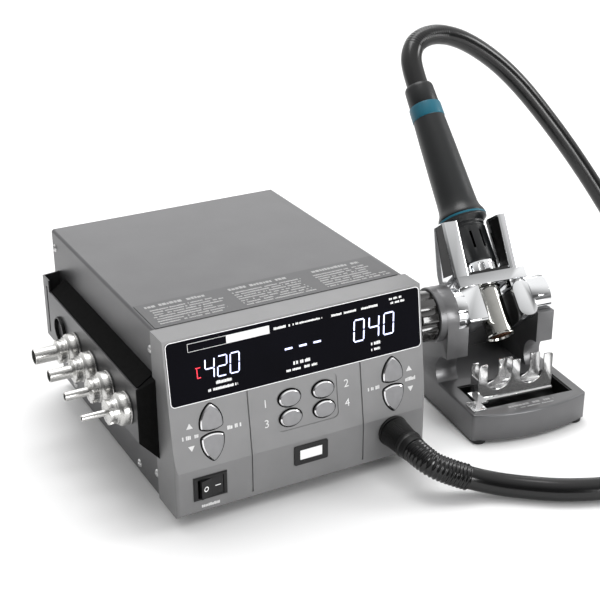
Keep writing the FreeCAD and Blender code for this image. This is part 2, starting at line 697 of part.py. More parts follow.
def cradle():
    w0, w1 = SEAT_W
    parts = [box(-28.6, 28.6, SEAT_FRONT, 16.5, w0, w1)]
    left = box(LEFT_CHEEK[0], LEFT_CHEEK[1], -15.5, 15, -16, w0 + 1)
    parts.append(left.makeFillet(2.0, edges_along(left, V(1, 0, 0), lambda p: p.z < 0)))
    right = box(RIGHT_CHEEK[0], RIGHT_CHEEK[1], -15.5, 15, -18.5, 9.5)
    parts.append(right.makeFillet(7.0, edges_along(right, V(0, 1, 0), lambda p: True)))
    parts.append(box(15.5, 27.5, -12, 13, 5, w0 + 1))
    parts.append(rod(V(-37.5, 0, 0), V(1, 0, 0), SADDLE_R - 0.3, 10))
    parts.append(rod(V(27.6, 0, 0), V(1, 0, 0), SADDLE_R - 0.3, 16.0))
    tall = prong(LEFT_PRONG, w0 - 3, 2.6)
    tall = tall.cut(box(LEFT_PRONG[0] - 1, -29.2, -30, 30, 0, 20))
    parts.append(tall)
    parts.append(prong(RIGHT_PRONG, w0 - 3, 3.4))
    body = fused(parts)
    tools = [rod(V(0, 0, -25), V(0, 0, 1), TUBE_R + 1.5, 60)]
    tools.append(turned([(0, w1 + 0.1), (16.2, w1 + 0.1), (16.2, 63.5), (19.8, 67.2), (19.8, 80), (0, 80)]))
    tools.append(inlay(LEFT_PRONG[0] - 1, 18, 13, 0, 2.3))
    tools.append(inlay(RIGHT_PRONG[0] - 1, 14, 14, 0, 2.2))
    tools.append(rod(V(-38, 0, 0), V(1, 0, 0), 4.0, 14))
    tools.append(box(-13.4, 13.4, -20, 20, -25, w0))
    return cut(body, tools)


def cradle_pads():
    """Rubber inlays of the two prongs, the plate under the handle's nut, and a cheek lining."""
    w1 = SEAT_W[1]
    pads = [inlay(LEFT_PRONG[0] + 0.2, 18, 13, 0.2, 1.0), inlay(RIGHT_PRONG[0] + 0.2, 14, 14, 0.2, 0.9)]
    plate = box(-16.0, 15.4, SEAT_FRONT + 0.4, 14, w1 + 0.05, NUT_W[0] - 0.1)
    plate = plate.cut(rod(V(0, 0, w1 - 1), V(0, 0, 1), TUBE_R + 1.6, 5))
    lining = box(11.9, 13.5, -15.2, 14.5, -20.8, 4.0)
    lining = lining.makeFillet(7.0, edges_along(lining, V(1, 0, 0), lambda p: True))
    return group(pads + [plate, lining])


def clamp_knob():
    grip = rod(V(-20.5, HINGE_Y, HINGE_Z), V(1, 0, 0), 19.5, 17.0)
    grip = grip.makeFillet(1.6, [e for e in grip.Edges if e.CenterOfMass.x < -20])
    flutes = []
    for k in range(10):
        flute = rod(V(-21, 23.3, 0), V(1, 0, 0), 5.2, 18)
        flute.rotate(V(0, 0, 0), V(1, 0, 0), 36 * k)
        flute.translate(V(0, HINGE_Y, HINGE_Z))
        flutes.append(flute)
    hub = rod(V(-3.6, HINGE_Y, HINGE_Z), V(1, 0, 0), 12, 2.3)
    whole = fused([cut(grip, flutes), hub])
    return whole.cut(rod(V(-14, HINGE_Y, HINGE_Z), V(1, 0, 0), 3.95, 14))


def clamp_stud():
    return rod(V(-13.9, HINGE_Y, HINGE_Z), V(1, 0, 0), 3.95, 36)


# ---------------------------------------------------------------- handle, turned about its axis
NUT_W = (22.6, 31.5)
BARREL_W = (31.5, 70.0)
GRIP_W = (71.6, 159.0)
BAND_W = (159.0, 171.0)
CAP_W = (171.0, 188.9)
TUBE_END = -27.0


def heater_tube():
    outer = [(TUBE_R, 24.0), (TUBE_R, TUBE_END + 1.8), (11.2, TUBE_END + 0.6), (11.2, TUBE_END)]
    inner = [(TUBE_R - 0.2, TUBE_END), (TUBE_R - 0.9, TUBE_END + 1.4), (TUBE_R - 0.9, 24.0)]
    return turned(outer + inner)


def heater_core():
    core = rod(V(0, 0, TUBE_END + 7), V(0, 0, 1), 8.2, 60)
    core = fused([core, rod(V(0, 0, 36.0), V(0, 0, 1), 11.4, 3.0)])
    bores = [rod(V(0, 0, TUBE_END + 6), V(0, 0, 1), 2.0, 62)]
    for k in range(6):
        bore = rod(V(5.2, 0, TUBE_END + 6), V(0, 0, 1), 1.5, 62)
        bore.rotate(V(0, 0, 0), V(0, 0, 1), 60 * k)
        bores.append(bore)
    return cut(core, bores)


def lock_nut():
    w0, w1 = NUT_W
    bore = TUBE_R + 0.05
    ring = turned([(bore, w0), (13.6, w0), (14.6, w0 + 1.2), (14.6, w1 - 0.4), (bore, w1 - 0.4)])
    flutes = []
    for k in range(10):
        flute = rod(V(16.4, 0, w0 - 1), V(0, 0, 1), 3.2, w1 - w0 - 1.2)
        flute.rotate(V(0, 0, 0), V(0, 0, 1), 36 * k)
        flutes.append(flute)
    return cut(ring, flutes)


def front_barrel():
    w0, w1 = BARREL_W
    outer = [(14.6, w0), (15.0, w0 + 0.8), (15.0, 60.5), (14.3, 61.0), (14.3, 62.4), (15.0, 63.0),
             (15.2, 65.0), (18.9, 68.4), (18.9, w1)]
    inner = [(11.5, w1), (11.5, 36.0), (TUBE_R + 0.05, 36.0), (TUBE_R + 0.05, w0)]
    body = turned(outer + inner)
    slots = []
    for k in range(5):
        slot = box(11, 16, -0.9, 0.9, 42, 56)
        slot.rotate(V(0, 0, 0), V(0, 0, 1), 252 + 32 * k)
        slots.append(slot)
    return cut(body, slots)


def flange_ring():
    return turned([(13.0, 70.0), (19.3, 70.0), (19.3, 71.6), (13.0, 71.6)])


def grip():
    w0, w1 = GRIP_W
    outer = [(18.9, w0), (18.9, w0 + 1.2), (16.4, w0 + 5), (15.3, w0 + 12), (14.4, w0 + 45), (12.8, w1)]
    inner = [(10.8, w1), (12.4, w0 + 45), (13.0, w0 + 5), (13.0, w0)]
    return turned(outer + inner)


def grip_band():
    w0, w1 = BAND_W
    return turned([(9.8, w0), (13.2, w0), (13.3, w0 + 1), (13.1, w1 - 1), (12.6, w1), (9.8, w1)])


def grip_end_cap():
    w0, w1 = CAP_W
    return turned([(8.9, w0), (12.1, w0), (11.6, w1 - 2), (10.6, w1), (0, w1), (0, w1 - 2.5),
                   (8.9, w1 - 2.5)])


def handle_board():
    plate = box(-8, 8, -0.8, 0.8, 84, 150)
    sensor = rod(V(0, 3.1, 92), V(0, 0, 1), 2.5, 14)
    return fused([plate, sensor])


# ---------------------------------------------------------------- hose
# The hose's route, in the station's frame, each list in order from its first outlet.
# The height is that of the hose's middle: a hose lying on the bench is at HOSE_LIES.
HOSE_LIES = HOSE_D / 2 - FOOT_H
RELIEF_R = 8.6
SLEEVE_R = 9.2
BOOT_TIP = V(164.5, -57.0, 19.8)
HANDLE_END = [
    V(299.0, 157.2, 205.9), V(300.1, 167.6, 216.7), V(303.6, 177.0, 227.5), V(314.0, 184.0, 237.5),
    V(336.0, 185.5, 240.5), V(366.0, 182.5, 229.5), V(404.0, 174.0, 200.0), V(444.0, 158.0, 149.0),
    V(478.0, 141.0, 97.0), V(503.0, 126.0, 52.0),
]
BENCH_END = [
    V(478.0, 141.0, 97.0), V(503.0, 126.0, 52.0), V(532.0, 104.0, 15.0), V(552.0, 62.0, HOSE_LIES),
    V(552.0, -4.0, HOSE_LIES), V(518.0, -76.0, HOSE_LIES), V(452.0, -130.0, HOSE_LIES),
    V(374.0, -151.0, HOSE_LIES), V(300.0, -144.0, HOSE_LIES), V(249.0, -127.0, HOSE_LIES),
    V(217.0, -103.0, HOSE_LIES), V(198.0, -89.5, 3.0), V(182.0, -82.5, 9.3), V(169.5, -75.5, 15.3),
    V(165.0, -66.1, 18.8), BOOT_TIP,
]
RELIEF_ENDS = 4             # the handle's relief ends half way along this run
JOIN_RUN = 8                # the two stretches meet half way along this run
SLEEVE_STARTS = 11          # the sleeve at the station starts half way along this run


def midpoint(points, run):
    return points[run].add(points[run + 1]).multiply(0.5)


def hose_boot():
    """Rubber boot: a nose through the front, a collar on its face, a cone down to the hose."""
    x, z = OUTLET_XZ
    base = V(x, -FASCIA_LOW, z)
    axis = BOOT_TIP.sub(base)
    way = V(axis).normalize()
    cone = Part.makeCone(11.2, 9.4, axis.Length, base, way)
    cone = cone.cut(box(x - 15, x + 15, -FASCIA_LOW, -FASCIA_LOW + 10, z - 15, z + 15))
    collar = rod(V(x, -FASCIA_LOW, z), V(0, -1, 0), 11.6, 2.0)
    nose = rod(V(x, -FASCIA_LOW + WALL + 0.1, z), V(0, -1, 0), 9.0, WALL + 0.1)
    lock = rod(V(x, -FASCIA_LOW + WALL + 3.1, z), V(0, -1, 0), 10.8, 3.0)
    return fused([cone, collar, nose, lock])


def rounded_path(points):
    """Straight runs joined by tangent arcs; returns the wire and the arcs' radii."""
    edges = []
    radii = []
    last = points[0]
    for i in range(1, len(points) - 1):
        before = points[i].sub(points[i - 1])
        after = points[i + 1].sub(points[i])
        turn = before.getAngle(after)
        reach = 0.45 * min(before.Length, after.Length)
        radii.append(reach / math.tan(turn / 2))
        start = points[i].sub(V(before).normalize().multiply(reach))
        end = points[i].add(V(after).normalize().multiply(reach))
        bisector = V(after).normalize().sub(V(before).normalize()).normalize()
        sagitta = radii[-1] * (1 / math.cos(turn / 2) - 1)
        middle = points[i].add(bisector.multiply(sagitta))
        edges.append(Part.LineSegment(last, start).toShape())
        edges.append(Part.Arc(start, middle, end).toShape())
        last = end
    edges.append(Part.LineSegment(last, points[-1]).toShape())
    return Part.Wire(edges), radii


def hose_tube(name, points, radius):
    path, radii = rounded_path(points)
    way = points[1].sub(points[0])
    ring = Part.Wire([Part.Circle(points[0], way, radius).toShape()])
    tube = path.makePipeShell([ring], True, False)
    expected = math.pi * radius ** 2 * path.Length
    print(name, "length %.1f" % path.Length, "volume ratio %.4f" % (tube.Volume / expected),
          "radii", [round(r, 1) for r in radii], "valid", tube.isValid())
    return tube


def hose_relief():
    return hose_tube("hose_relief", HANDLE_END[:RELIEF_ENDS + 1] + [midpoint(HANDLE_END, RELIEF_ENDS)],
                     RELIEF_R)


def hose_upper():
    points = [midpoint(HANDLE_END, RELIEF_ENDS)] + HANDLE_END[RELIEF_ENDS + 1:JOIN_RUN + 1]
    return hose_tube("hose_upper", points + [midpoint(HANDLE_END, JOIN_RUN)], HOSE_D / 2)


def hose_lower():
    points = [midpoint(BENCH_END, 0)] + BENCH_END[1:SLEEVE_STARTS + 1]
    return hose_tube("hose_lower", points + [midpoint(BENCH_END, SLEEVE_STARTS)], HOSE_D / 2)


def hose_sleeve():
    points = [midpoint(BENCH_END, SLEEVE_STARTS)] + BENCH_END[SLEEVE_STARTS + 1:]
    return hose_tube("hose_sleeve", points, SLEEVE_R)


# ---------------------------------------------------------------- export


def export(name, shape, frame):
    place(shape, frame).exportStep("parts/%s.step" % name)


def station_nodes():
    return {
        "cover": cover(), "chassis": chassis(), "rear_panel": rear_panel(), "front_panel": front_panel(),
        "guide_plate": guide_plate(),
        "case_screws": case_screws(), "case_feet": case_feet(), "nozzle_bracket": nozzle_bracket(),
        "bracket_liner": bracket_liner(), "nozzle_seats": nozzle_seats(),
        "blower_housing": blower_housing(), "blower_impeller": blower_impeller(),
        "blower_motor": blower_motor(), "air_pipe": air_pipe(), "transformer": transformer(),
        "main_board": main_board(), "mains_inlet": mains_inlet(), "fuse_holder": fuse_holder(),
    }


def main():
    os.makedirs("parts", exist_ok=True)
    for name, shape in station_nodes().items():
        export(name, shape, STATION)
    for index in range(len(NOZZLE_BORE)):
        export("nozzle_%d" % (index + 1), nozzle(index), STATION)
    for name, make in (("display_window", display_window), ("control_board", control_board)):
        export(name, make(), UPPER_FACE)
    for name in list(TRIANGLES) + list(CHANNELS):
        export(name, button(name), UPPER_FACE)
    for make in (switch_body, power_rocker, sensor_bezel, sensor_lens):
        export(make.__name__, make(), LOWER_FACE)
    for make in (hose_boot, hose_relief, hose_upper, hose_lower, hose_sleeve):
        export(make.__name__, make(), STATION)
    for make in (stand_base, stand_feet, tray_liner, nozzle_puller, puller_screws, clamp_knob, clamp_stud):
        export(make.__name__, make(), STAND)
    for make in (cradle, cradle_pads, heater_tube, heater_core, lock_nut, front_barrel, flange_ring,
                 grip, grip_band, grip_end_cap, handle_board):
        export(make.__name__, make(), GUN)


main()
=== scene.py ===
import bmesh
import bpy
import json
import math
import random
from mathutils import Matrix, Vector


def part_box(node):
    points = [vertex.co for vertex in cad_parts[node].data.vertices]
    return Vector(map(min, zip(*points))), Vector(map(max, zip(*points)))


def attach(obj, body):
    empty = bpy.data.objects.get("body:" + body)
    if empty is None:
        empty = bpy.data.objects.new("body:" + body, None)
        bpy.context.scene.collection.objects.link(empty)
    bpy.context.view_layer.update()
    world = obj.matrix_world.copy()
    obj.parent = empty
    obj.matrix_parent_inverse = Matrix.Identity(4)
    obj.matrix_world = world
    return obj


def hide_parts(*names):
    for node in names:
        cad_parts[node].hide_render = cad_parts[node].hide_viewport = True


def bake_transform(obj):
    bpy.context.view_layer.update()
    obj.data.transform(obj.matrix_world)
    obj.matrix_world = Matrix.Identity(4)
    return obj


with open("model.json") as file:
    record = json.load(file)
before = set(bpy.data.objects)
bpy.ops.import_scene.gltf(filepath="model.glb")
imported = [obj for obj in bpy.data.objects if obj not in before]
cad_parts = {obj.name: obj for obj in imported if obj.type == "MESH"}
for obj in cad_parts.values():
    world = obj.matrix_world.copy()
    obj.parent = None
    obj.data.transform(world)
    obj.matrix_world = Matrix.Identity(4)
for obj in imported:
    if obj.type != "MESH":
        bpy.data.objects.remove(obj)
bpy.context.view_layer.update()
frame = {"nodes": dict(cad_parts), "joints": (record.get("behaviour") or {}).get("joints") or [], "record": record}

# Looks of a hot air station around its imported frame. Metres, in the frame's own axes.

MM = 0.001
JOINTS = {joint["name"]: joint for joint in frame["joints"]}
BODIES = frame["record"]["behaviour"]["bodies"]
BODY_OF = {node: body for body, nodes in BODIES.items() for node in nodes}

# ---------------------------------------------------------------- frames of the sub-assemblies
WAIST = 34.5 * MM           # crease of the front, above the case's floor
FASCIA_LOW = 31.6 * MM      # how far the front's foot stands before the case
UP = Vector((0, 0, 1))


def axes_frame(origin, x_axis, y_axis, z_axis):
    matrix = Matrix((x_axis, y_axis, z_axis)).transposed().to_4x4()
    return Matrix.Translation(origin) @ matrix


CASE_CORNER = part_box("cover")[0]
STATION = Matrix.Translation(CASE_CORNER)
PRESS = Vector(JOINTS["temp_up_press"]["axis"]).normalized()
PANEL_X = Vector((1, 0, 0))
PANEL = axes_frame(CASE_CORNER + Vector((0, -FASCIA_LOW, WAIST)), PANEL_X, PRESS, PANEL_X.cross(PRESS))
LOWER = Matrix.Translation(CASE_CORNER + Vector((0, -FASCIA_LOW, 0)))
HINGE = Vector(JOINTS["cradle_tilt"]["pos_m"])
HINGE_X = Vector(JOINTS["cradle_tilt"]["axis"]).normalized()
HANDLE_Z = Vector(JOINTS["handle_lift"]["axis"]).normalized()
GUN = axes_frame(HINGE, HINGE_X, HANDLE_Z.cross(HINGE_X), HANDLE_Z)
STAND_Y = UP.cross(HINGE_X)
HINGE_IN_STAND = Vector((47.2, 64.3, 75.0)) * MM
STAND_TURNED = axes_frame(Vector((0, 0, 0)), HINGE_X, STAND_Y, UP)
STAND = Matrix.Translation(HINGE - STAND_TURNED @ HINGE_IN_STAND) @ STAND_TURNED

# ---------------------------------------------------------------- camera
# The station is seen from the front left, a little from above.
CAMERA_FROM_CASE = Vector((-267.5, -702.6, 485.8)) * MM
YAW, PITCH, ROLL = (math.radians(angle) for angle in (28.04, 24.51, -0.27))


def make_camera():
    data = bpy.data.cameras.new("camera")
    data.lens = 78.27
    data.sensor_width = 36.0
    camera = bpy.data.objects.new("camera", data)
    camera.matrix_world = (Matrix.Translation(CASE_CORNER + CAMERA_FROM_CASE)
                           @ Matrix.Rotation(-YAW, 4, "Z")
                           @ Matrix.Rotation(math.pi / 2 - PITCH, 4, "X")
                           @ Matrix.Rotation(ROLL, 4, "Z"))
    bpy.context.scene.collection.objects.link(camera)
    bpy.context.scene.camera = camera


# ---------------------------------------------------------------- materials
def node_material(name):
    material = bpy.data.materials.new(name)
    material.use_nodes = True
    tree = material.node_tree
    shader = tree.nodes["Principled BSDF"]
    return material, tree, shader


def surface(name, colour, rough, metallic=0.0, grain=0.0, grain_size=0.4, mottle=0.08, mottle_size=25.0,
            rough_spread=0.1, coat=0.0, specular=0.5):
    """A finish with fine grain in the bump, broad mottling in the colour, and uneven gloss.

    The two sizes are in mm."""
    material, tree, shader = node_material(name)
    links = tree.links
    place = tree.nodes.new("ShaderNodeTexCoord")
    broad = tree.nodes.new("ShaderNodeTexNoise")
    broad.inputs["Scale"].default_value = 1.0 / (mottle_size * MM)
    broad.inputs["Detail"].default_value = 4.0
    links.new(place.outputs["Object"], broad.inputs["Vector"])
    fine = tree.nodes.new("ShaderNodeTexNoise")
    fine.inputs["Scale"].default_value = 1.0 / (grain_size * MM)
    fine.inputs["Detail"].default_value = 2.0
    links.new(place.outputs["Object"], fine.inputs["Vector"])
    ramp = tree.nodes.new("ShaderNodeValToRGB")
    ramp.color_ramp.elements[0].position = 0.3
    ramp.color_ramp.elements[1].position = 0.7
    ramp.color_ramp.elements[0].color = [c * (1 - mottle) for c in colour] + [1]
    ramp.color_ramp.elements[1].color = [min(1, c * (1 + mottle)) for c in colour] + [1]
    links.new(broad.outputs["Fac"], ramp.inputs["Fac"])
    links.new(ramp.outputs["Color"], shader.inputs["Base Color"])
    gloss = tree.nodes.new("ShaderNodeMapRange")
    gloss.inputs["To Min"].default_value = max(0.02, rough - rough_spread / 2)
    gloss.inputs["To Max"].default_value = rough + rough_spread / 2
    links.new(fine.outputs["Fac"], gloss.inputs["Value"])
    links.new(gloss.outputs["Result"], shader.inputs["Roughness"])
    if grain:
        bump = tree.nodes.new("ShaderNodeBump")
        bump.inputs["Strength"].default_value = grain
        bump.inputs["Distance"].default_value = 0.05 * MM
        links.new(fine.outputs["Fac"], bump.inputs["Height"])
        links.new(bump.outputs["Normal"], shader.inputs["Normal"])
    shader.inputs["Metallic"].default_value = metallic
    shader.inputs["Coat Weight"].default_value = coat
    shader.inputs["Specular IOR Level"].default_value = specular
    return material


def glowing(name, colour, strength):
    """A display segment: a little uneven along its length."""
    material, tree, shader = node_material(name)
    place = tree.nodes.new("ShaderNodeTexCoord")
    noise = tree.nodes.new("ShaderNodeTexNoise")
    noise.inputs["Scale"].default_value = 600.0
    ramp = tree.nodes.new("ShaderNodeValToRGB")
    ramp.color_ramp.elements[0].color = [c * 0.85 for c in colour] + [1]
    ramp.color_ramp.elements[1].color = list(colour) + [1]
    tree.links.new(place.outputs["Object"], noise.inputs["Vector"])
    tree.links.new(noise.outputs["Fac"], ramp.inputs["Fac"])
    tree.links.new(ramp.outputs["Color"], shader.inputs["Emission Color"])
    tree.links.new(ramp.outputs["Color"], shader.inputs["Base Color"])
    shader.inputs["Emission Strength"].default_value = strength
    return material


FINISHES = {         # label of the material, then what it is made of, for surface()
    "case_paint": ("case paint", dict(colour=(0.09, 0.09, 0.093), rough=0.36, metallic=0.7, grain=0.3,
                                      grain_size=0.3, mottle=0.06)),
    "fascia": ("front paint", dict(colour=(0.185, 0.185, 0.187), rough=0.36, metallic=0.35, grain=0.2,
                                   grain_size=0.3, mottle=0.05)),
    "window": ("display window", dict(colour=(0.002, 0.002, 0.004), rough=0.1, grain_size=2, mottle=0.2,
                                      mottle_size=40, rough_spread=0.04, specular=0.04)),
    "key": ("key plastic", dict(colour=(0.2, 0.2, 0.205), rough=0.3, metallic=0.8, grain=0.05,
                                grain_size=0.6, mottle=0.06, mottle_size=5)),
    # chrome of the keys' bevels, also put on the display window's edge as a painted highlight
    "chrome_rim_and_edge_highlight": ("chrome rim and edge highlight", dict(colour=(0.88, 0.88, 0.89), rough=0.14, metallic=1.0, grain_size=1,
                                mottle=0.03, mottle_size=8)),
    # near black: painted shade of the gap round each key, laid on the panel's face
    "gap_painted_shade": ("gap painted shade", dict(colour=(0.004, 0.004, 0.004), rough=0.7, grain_size=1, mottle=0.2,
                                mottle_size=8, specular=0.1)),
    "black": ("black plastic", dict(colour=(0.006, 0.006, 0.0065), rough=0.34, grain=0.3, grain_size=0.5,
                                    mottle=0.2, mottle_size=15, specular=0.35)),
    "knob": ("knob plastic", dict(colour=(0.012, 0.011, 0.0105), rough=0.16, grain=0.1, grain_size=0.6,
                                  mottle=0.2, mottle_size=10, rough_spread=0.08, coat=0.5, specular=0.7)),
    "foam": ("liner foam", dict(colour=(0.0035, 0.0035, 0.0035), rough=0.9, grain=1.0, grain_size=0.9,
                                mottle=0.3, mottle_size=4, specular=0.1)),
    "rubber": ("black rubber", dict(colour=(0.006, 0.006, 0.006), rough=0.38, grain=0.4, grain_size=0.6,
                                    mottle=0.2, mottle_size=10, specular=0.35)),
    "hose": ("hose rubber", dict(colour=(0.0035, 0.0035, 0.0037), rough=0.2, grain=0.3, grain_size=0.8,
                                 mottle=0.2, mottle_size=12, specular=0.45)),
    "film": ("printed film", dict(colour=(0.06, 0.06, 0.063), rough=0.42, metallic=0.3, grain=0.3,
                                  grain_size=0.5, mottle=0.1, mottle_size=20)),
    "print": ("white print", dict(colour=(0.62, 0.62, 0.62), rough=0.5, grain=0.3, grain_size=0.5,
                                  mottle=0.1, mottle_size=5)),
    "grey_print": ("grey print", dict(colour=(0.3, 0.3, 0.3), rough=0.5, grain=0.3, grain_size=0.5,
                                      mottle=0.1, mottle_size=5)),
    "bright_print": ("bright print", dict(colour=(0.85, 0.85, 0.85), rough=0.45, grain=0.3,
                                          grain_size=0.5, mottle=0.05, mottle_size=5)),
    "steel": ("zinc steel", dict(colour=(0.55, 0.55, 0.55), rough=0.28, metallic=1.0, grain=0.2,
                                 grain_size=0.6, mottle=0.1, mottle_size=10)),
    "chrome": ("polished chrome", dict(colour=(0.8, 0.81, 0.82), rough=0.07, metallic=1.0, grain_size=3,
                                       mottle=0.02, mottle_size=30, rough_spread=0.05)),
    "bright_steel": ("bright steel", dict(colour=(0.84, 0.84, 0.84), rough=0.12, metallic=0.86,
                                          grain_size=1, mottle=0.03, mottle_size=10)),
    "nickel": ("nozzle nickel", dict(colour=(0.55, 0.545, 0.53), rough=0.27, metallic=1.0, grain=0.1,
                                     grain_size=0.5, mottle_size=5, rough_spread=0.08)),
    "tube": ("heater tube", dict(colour=(0.46, 0.455, 0.43), rough=0.1, metallic=1.0, grain=0.1,
                                 mottle=0.06, mottle_size=8, rough_spread=0.06)),
    "ceramic": ("heater ceramic", dict(colour=(0.45, 0.2, 0.12), rough=0.6, grain=0.5, grain_size=0.5,
                                       mottle=0.2, mottle_size=5)),
    "stand_paint": ("stand paint", dict(colour=(0.135, 0.135, 0.138), rough=0.34, metallic=0.6, grain=0.5,
                                        mottle=0.06)),
    "grip": ("grip plastic", dict(colour=(0.006, 0.0068, 0.0075), rough=0.36, grain=0.5, grain_size=0.5,
                                  mottle=0.1, mottle_size=15, rough_spread=0.12, specular=0.42)),
    "teal": ("teal plastic", dict(colour=(0.003, 0.1, 0.15), rough=0.38, grain=0.3, grain_size=0.5,
                                  mottle=0.06, mottle_size=10, specular=0.4)),
    "lens": ("receiver lens", dict(colour=(0.85, 0.86, 0.86), rough=0.25, grain=0.1, grain_size=1,
                                   mottle=0.03, mottle_size=8)),
    "board": ("circuit board", dict(colour=(0.01, 0.09, 0.03), rough=0.4, grain=0.3, grain_size=2.0,
                                    mottle=0.3, mottle_size=3)),
    "core": ("laminated core", dict(colour=(0.05, 0.05, 0.05), rough=0.5, metallic=0.6, grain=0.5,
                                    grain_size=0.8, mottle=0.3, mottle_size=3)),
}
GLOWS = {            # label, colour, strength
    "glow_white": ("digit white", (0.66, 0.7, 1.0), 1.35),
    "glow_red": ("mark red", (0.95, 0.02, 0.05), 0.8),
}


def make_materials():
    made = {key: surface(label, **finish) for key, (label, finish) in FINISHES.items()}
    made.update({key: glowing(*finish) for key, finish in GLOWS.items()})
    return made


# ---------------------------------------------------------------- mesh helpers
SHARPEST_SMOOTH = 28.0      # edges that turn by less, in degrees, stay unrounded
FLAT = 0.6                  # faces that turn by less, in degrees, are made one
SAME_PLACE = 0.001 * MM


def piece(name, mesh, body, material):
    thing = bpy.data.objects.new(name, mesh)
    bpy.context.scene.collection.objects.link(thing)
    thing.data.materials.clear()
    thing.data.materials.append(material)
    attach(thing, body)
    return thing


def mesh_of(name, points, faces, place=Matrix.Identity(4), sharp=35.0):
    """A closed mesh with smooth faces, whose edges over the sharp angle stay crisp."""
    mesh = bpy.data.meshes.new(name)
    mesh.from_pydata([place @ Vector(point) for point in points], [], faces)
    finish_mesh(mesh, sharp)
    return mesh


def finish_mesh(mesh, sharp=35.0):
    work = bmesh.new()
    work.from_mesh(mesh)
    bmesh.ops.recalc_face_normals(work, faces=work.faces)
    for face in work.faces:
        face.smooth = True
    for edge in work.edges:
        if len(edge.link_faces) == 2:
            edge.smooth = edge.calc_face_angle() < math.radians(sharp)
    work.to_mesh(mesh)
    work.free()


def bevel(thing, width):
    modifier = thing.modifiers.new("rounded edges", "BEVEL")
    modifier.width = width
    modifier.segments = 3
    modifier.limit_method = "ANGLE"
    modifier.angle_limit = math.radians(SHARPEST_SMOOTH)
    modifier.harden_normals = True


def lathe(name, profile, place, segments=96, shape=None, sharp=35.0):
    """Closed solid of revolution about local Z from (radius, height) corners in mm.

    shape(radius, height, angle) may change the radius, in mm, for lobes and ribs."""
    points = []
    for radius, height in profile:
        for k in range(segments):
            angle = 2 * math.pi * k / segments
            r = shape(radius, height, angle) if shape else radius
            points.append((r * MM * math.cos(angle), r * MM * math.sin(angle), height * MM))
    faces = []
    rings = len(profile)
    for i in range(rings):
        following = (i + 1) % rings
        for k in range(segments):
            side = (k + 1) % segments
            faces.append((i * segments + k, i * segments + side,
                          following * segments + side, following * segments + k))
    return mesh_of(name, points, faces, place, sharp)


def tube(name, path, radius_at, sides=32):
    """Closed mesh tube along path; radius_at(distance, angle) in metres."""
    tangents = []
    for i in range(len(path)):
        before = path[max(0, i - 1)]
        after = path[min(len(path) - 1, i + 1)]
        tangents.append((after - before).normalized())
    normal = tangents[0].orthogonal().normalized()
    points = []
    distance = 0.0
    for i, centre in enumerate(path):
        if i:
            distance += (path[i] - path[i - 1]).length
            turn = tangents[i - 1].rotation_difference(tangents[i])
            normal = turn @ normal
        binormal = tangents[i].cross(normal)
        for k in range(sides):
            angle = 2 * math.pi * k / sides
            radius = radius_at(distance, angle)
            points.append(centre + (normal * math.cos(angle) + binormal * math.sin(angle)) * radius)
    faces = []
    for i in range(len(path) - 1):
        for k in range(sides):
            side = (k + 1) % sides
            faces.append((i * sides + k, i * sides + side, (i + 1) * sides + side, (i + 1) * sides + k))
    last = (len(path) - 1) * sides
    faces.append(tuple(range(sides - 1, -1, -1)))
    faces.append(tuple(range(last, last + sides)))
    return mesh_of(name, points, faces)


def box_points(low, high):
    points = [(x, y, z) for x in (low[0], high[0]) for y in (low[1], high[1]) for z in (low[2], high[2])]
    faces = [(0, 1, 3, 2), (4, 6, 7, 5), (0, 4, 5, 1), (2, 3, 7, 6), (0, 2, 6, 4), (1, 5, 7, 3)]
    return points, faces


class Blocks:
    """Collects many small solids, given in mm in one frame, into one mesh."""

    def __init__(self, place):
        self.place = place
        self.points = []
        self.faces = []

    def add(self, points, faces):
        start = len(self.points)
        self.points += [tuple(value * MM for value in point) for point in points]
        self.faces += [tuple(start + index for index in face) for face in faces]

    def box(self, low, high):
        self.add(*box_points(low, high))

    def prism(self, outline, y0, y1):
        """A flat outline in X and Z, made solid from y0 to y1."""
        count = len(outline)
        points = [(x, y0, z) for x, z in outline] + [(x, y1, z) for x, z in outline]
        faces = [tuple(range(count)), tuple(range(2 * count - 1, count - 1, -1))]
        for i in range(count):
            j = (i + 1) % count
            faces.append((i, i + count, j + count, j))
        self.add(points, faces)

    def piece(self, name, body, material, slot):
        return piece(name, mesh_of(name, self.points, self.faces, self.place), body, material)


def softened(node, material, width):
    """A copy of a CAD node with its edges rounded, which stands for the node."""
    mesh = frame["nodes"][node].data.copy()
    work = bmesh.new()
    work.from_mesh(mesh)
    bmesh.ops.remove_doubles(work, verts=work.verts, dist=SAME_PLACE)
    bmesh.ops.dissolve_limit(work, angle_limit=math.radians(FLAT), verts=work.verts, edges=work.edges)
    work.to_mesh(mesh)
    work.free()
    for face in mesh.polygons:
        face.use_smooth = True
    copy = piece(node + "_skin", mesh, BODY_OF[node], material)
    bevel(copy, width * MM)
    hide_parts(node)
    return copy


def finish_node(node, material):
    """Give a CAD node that is shown as it is its material."""
    thing = frame["nodes"][node]
    for slot in thing.material_slots:
        slot.material = material


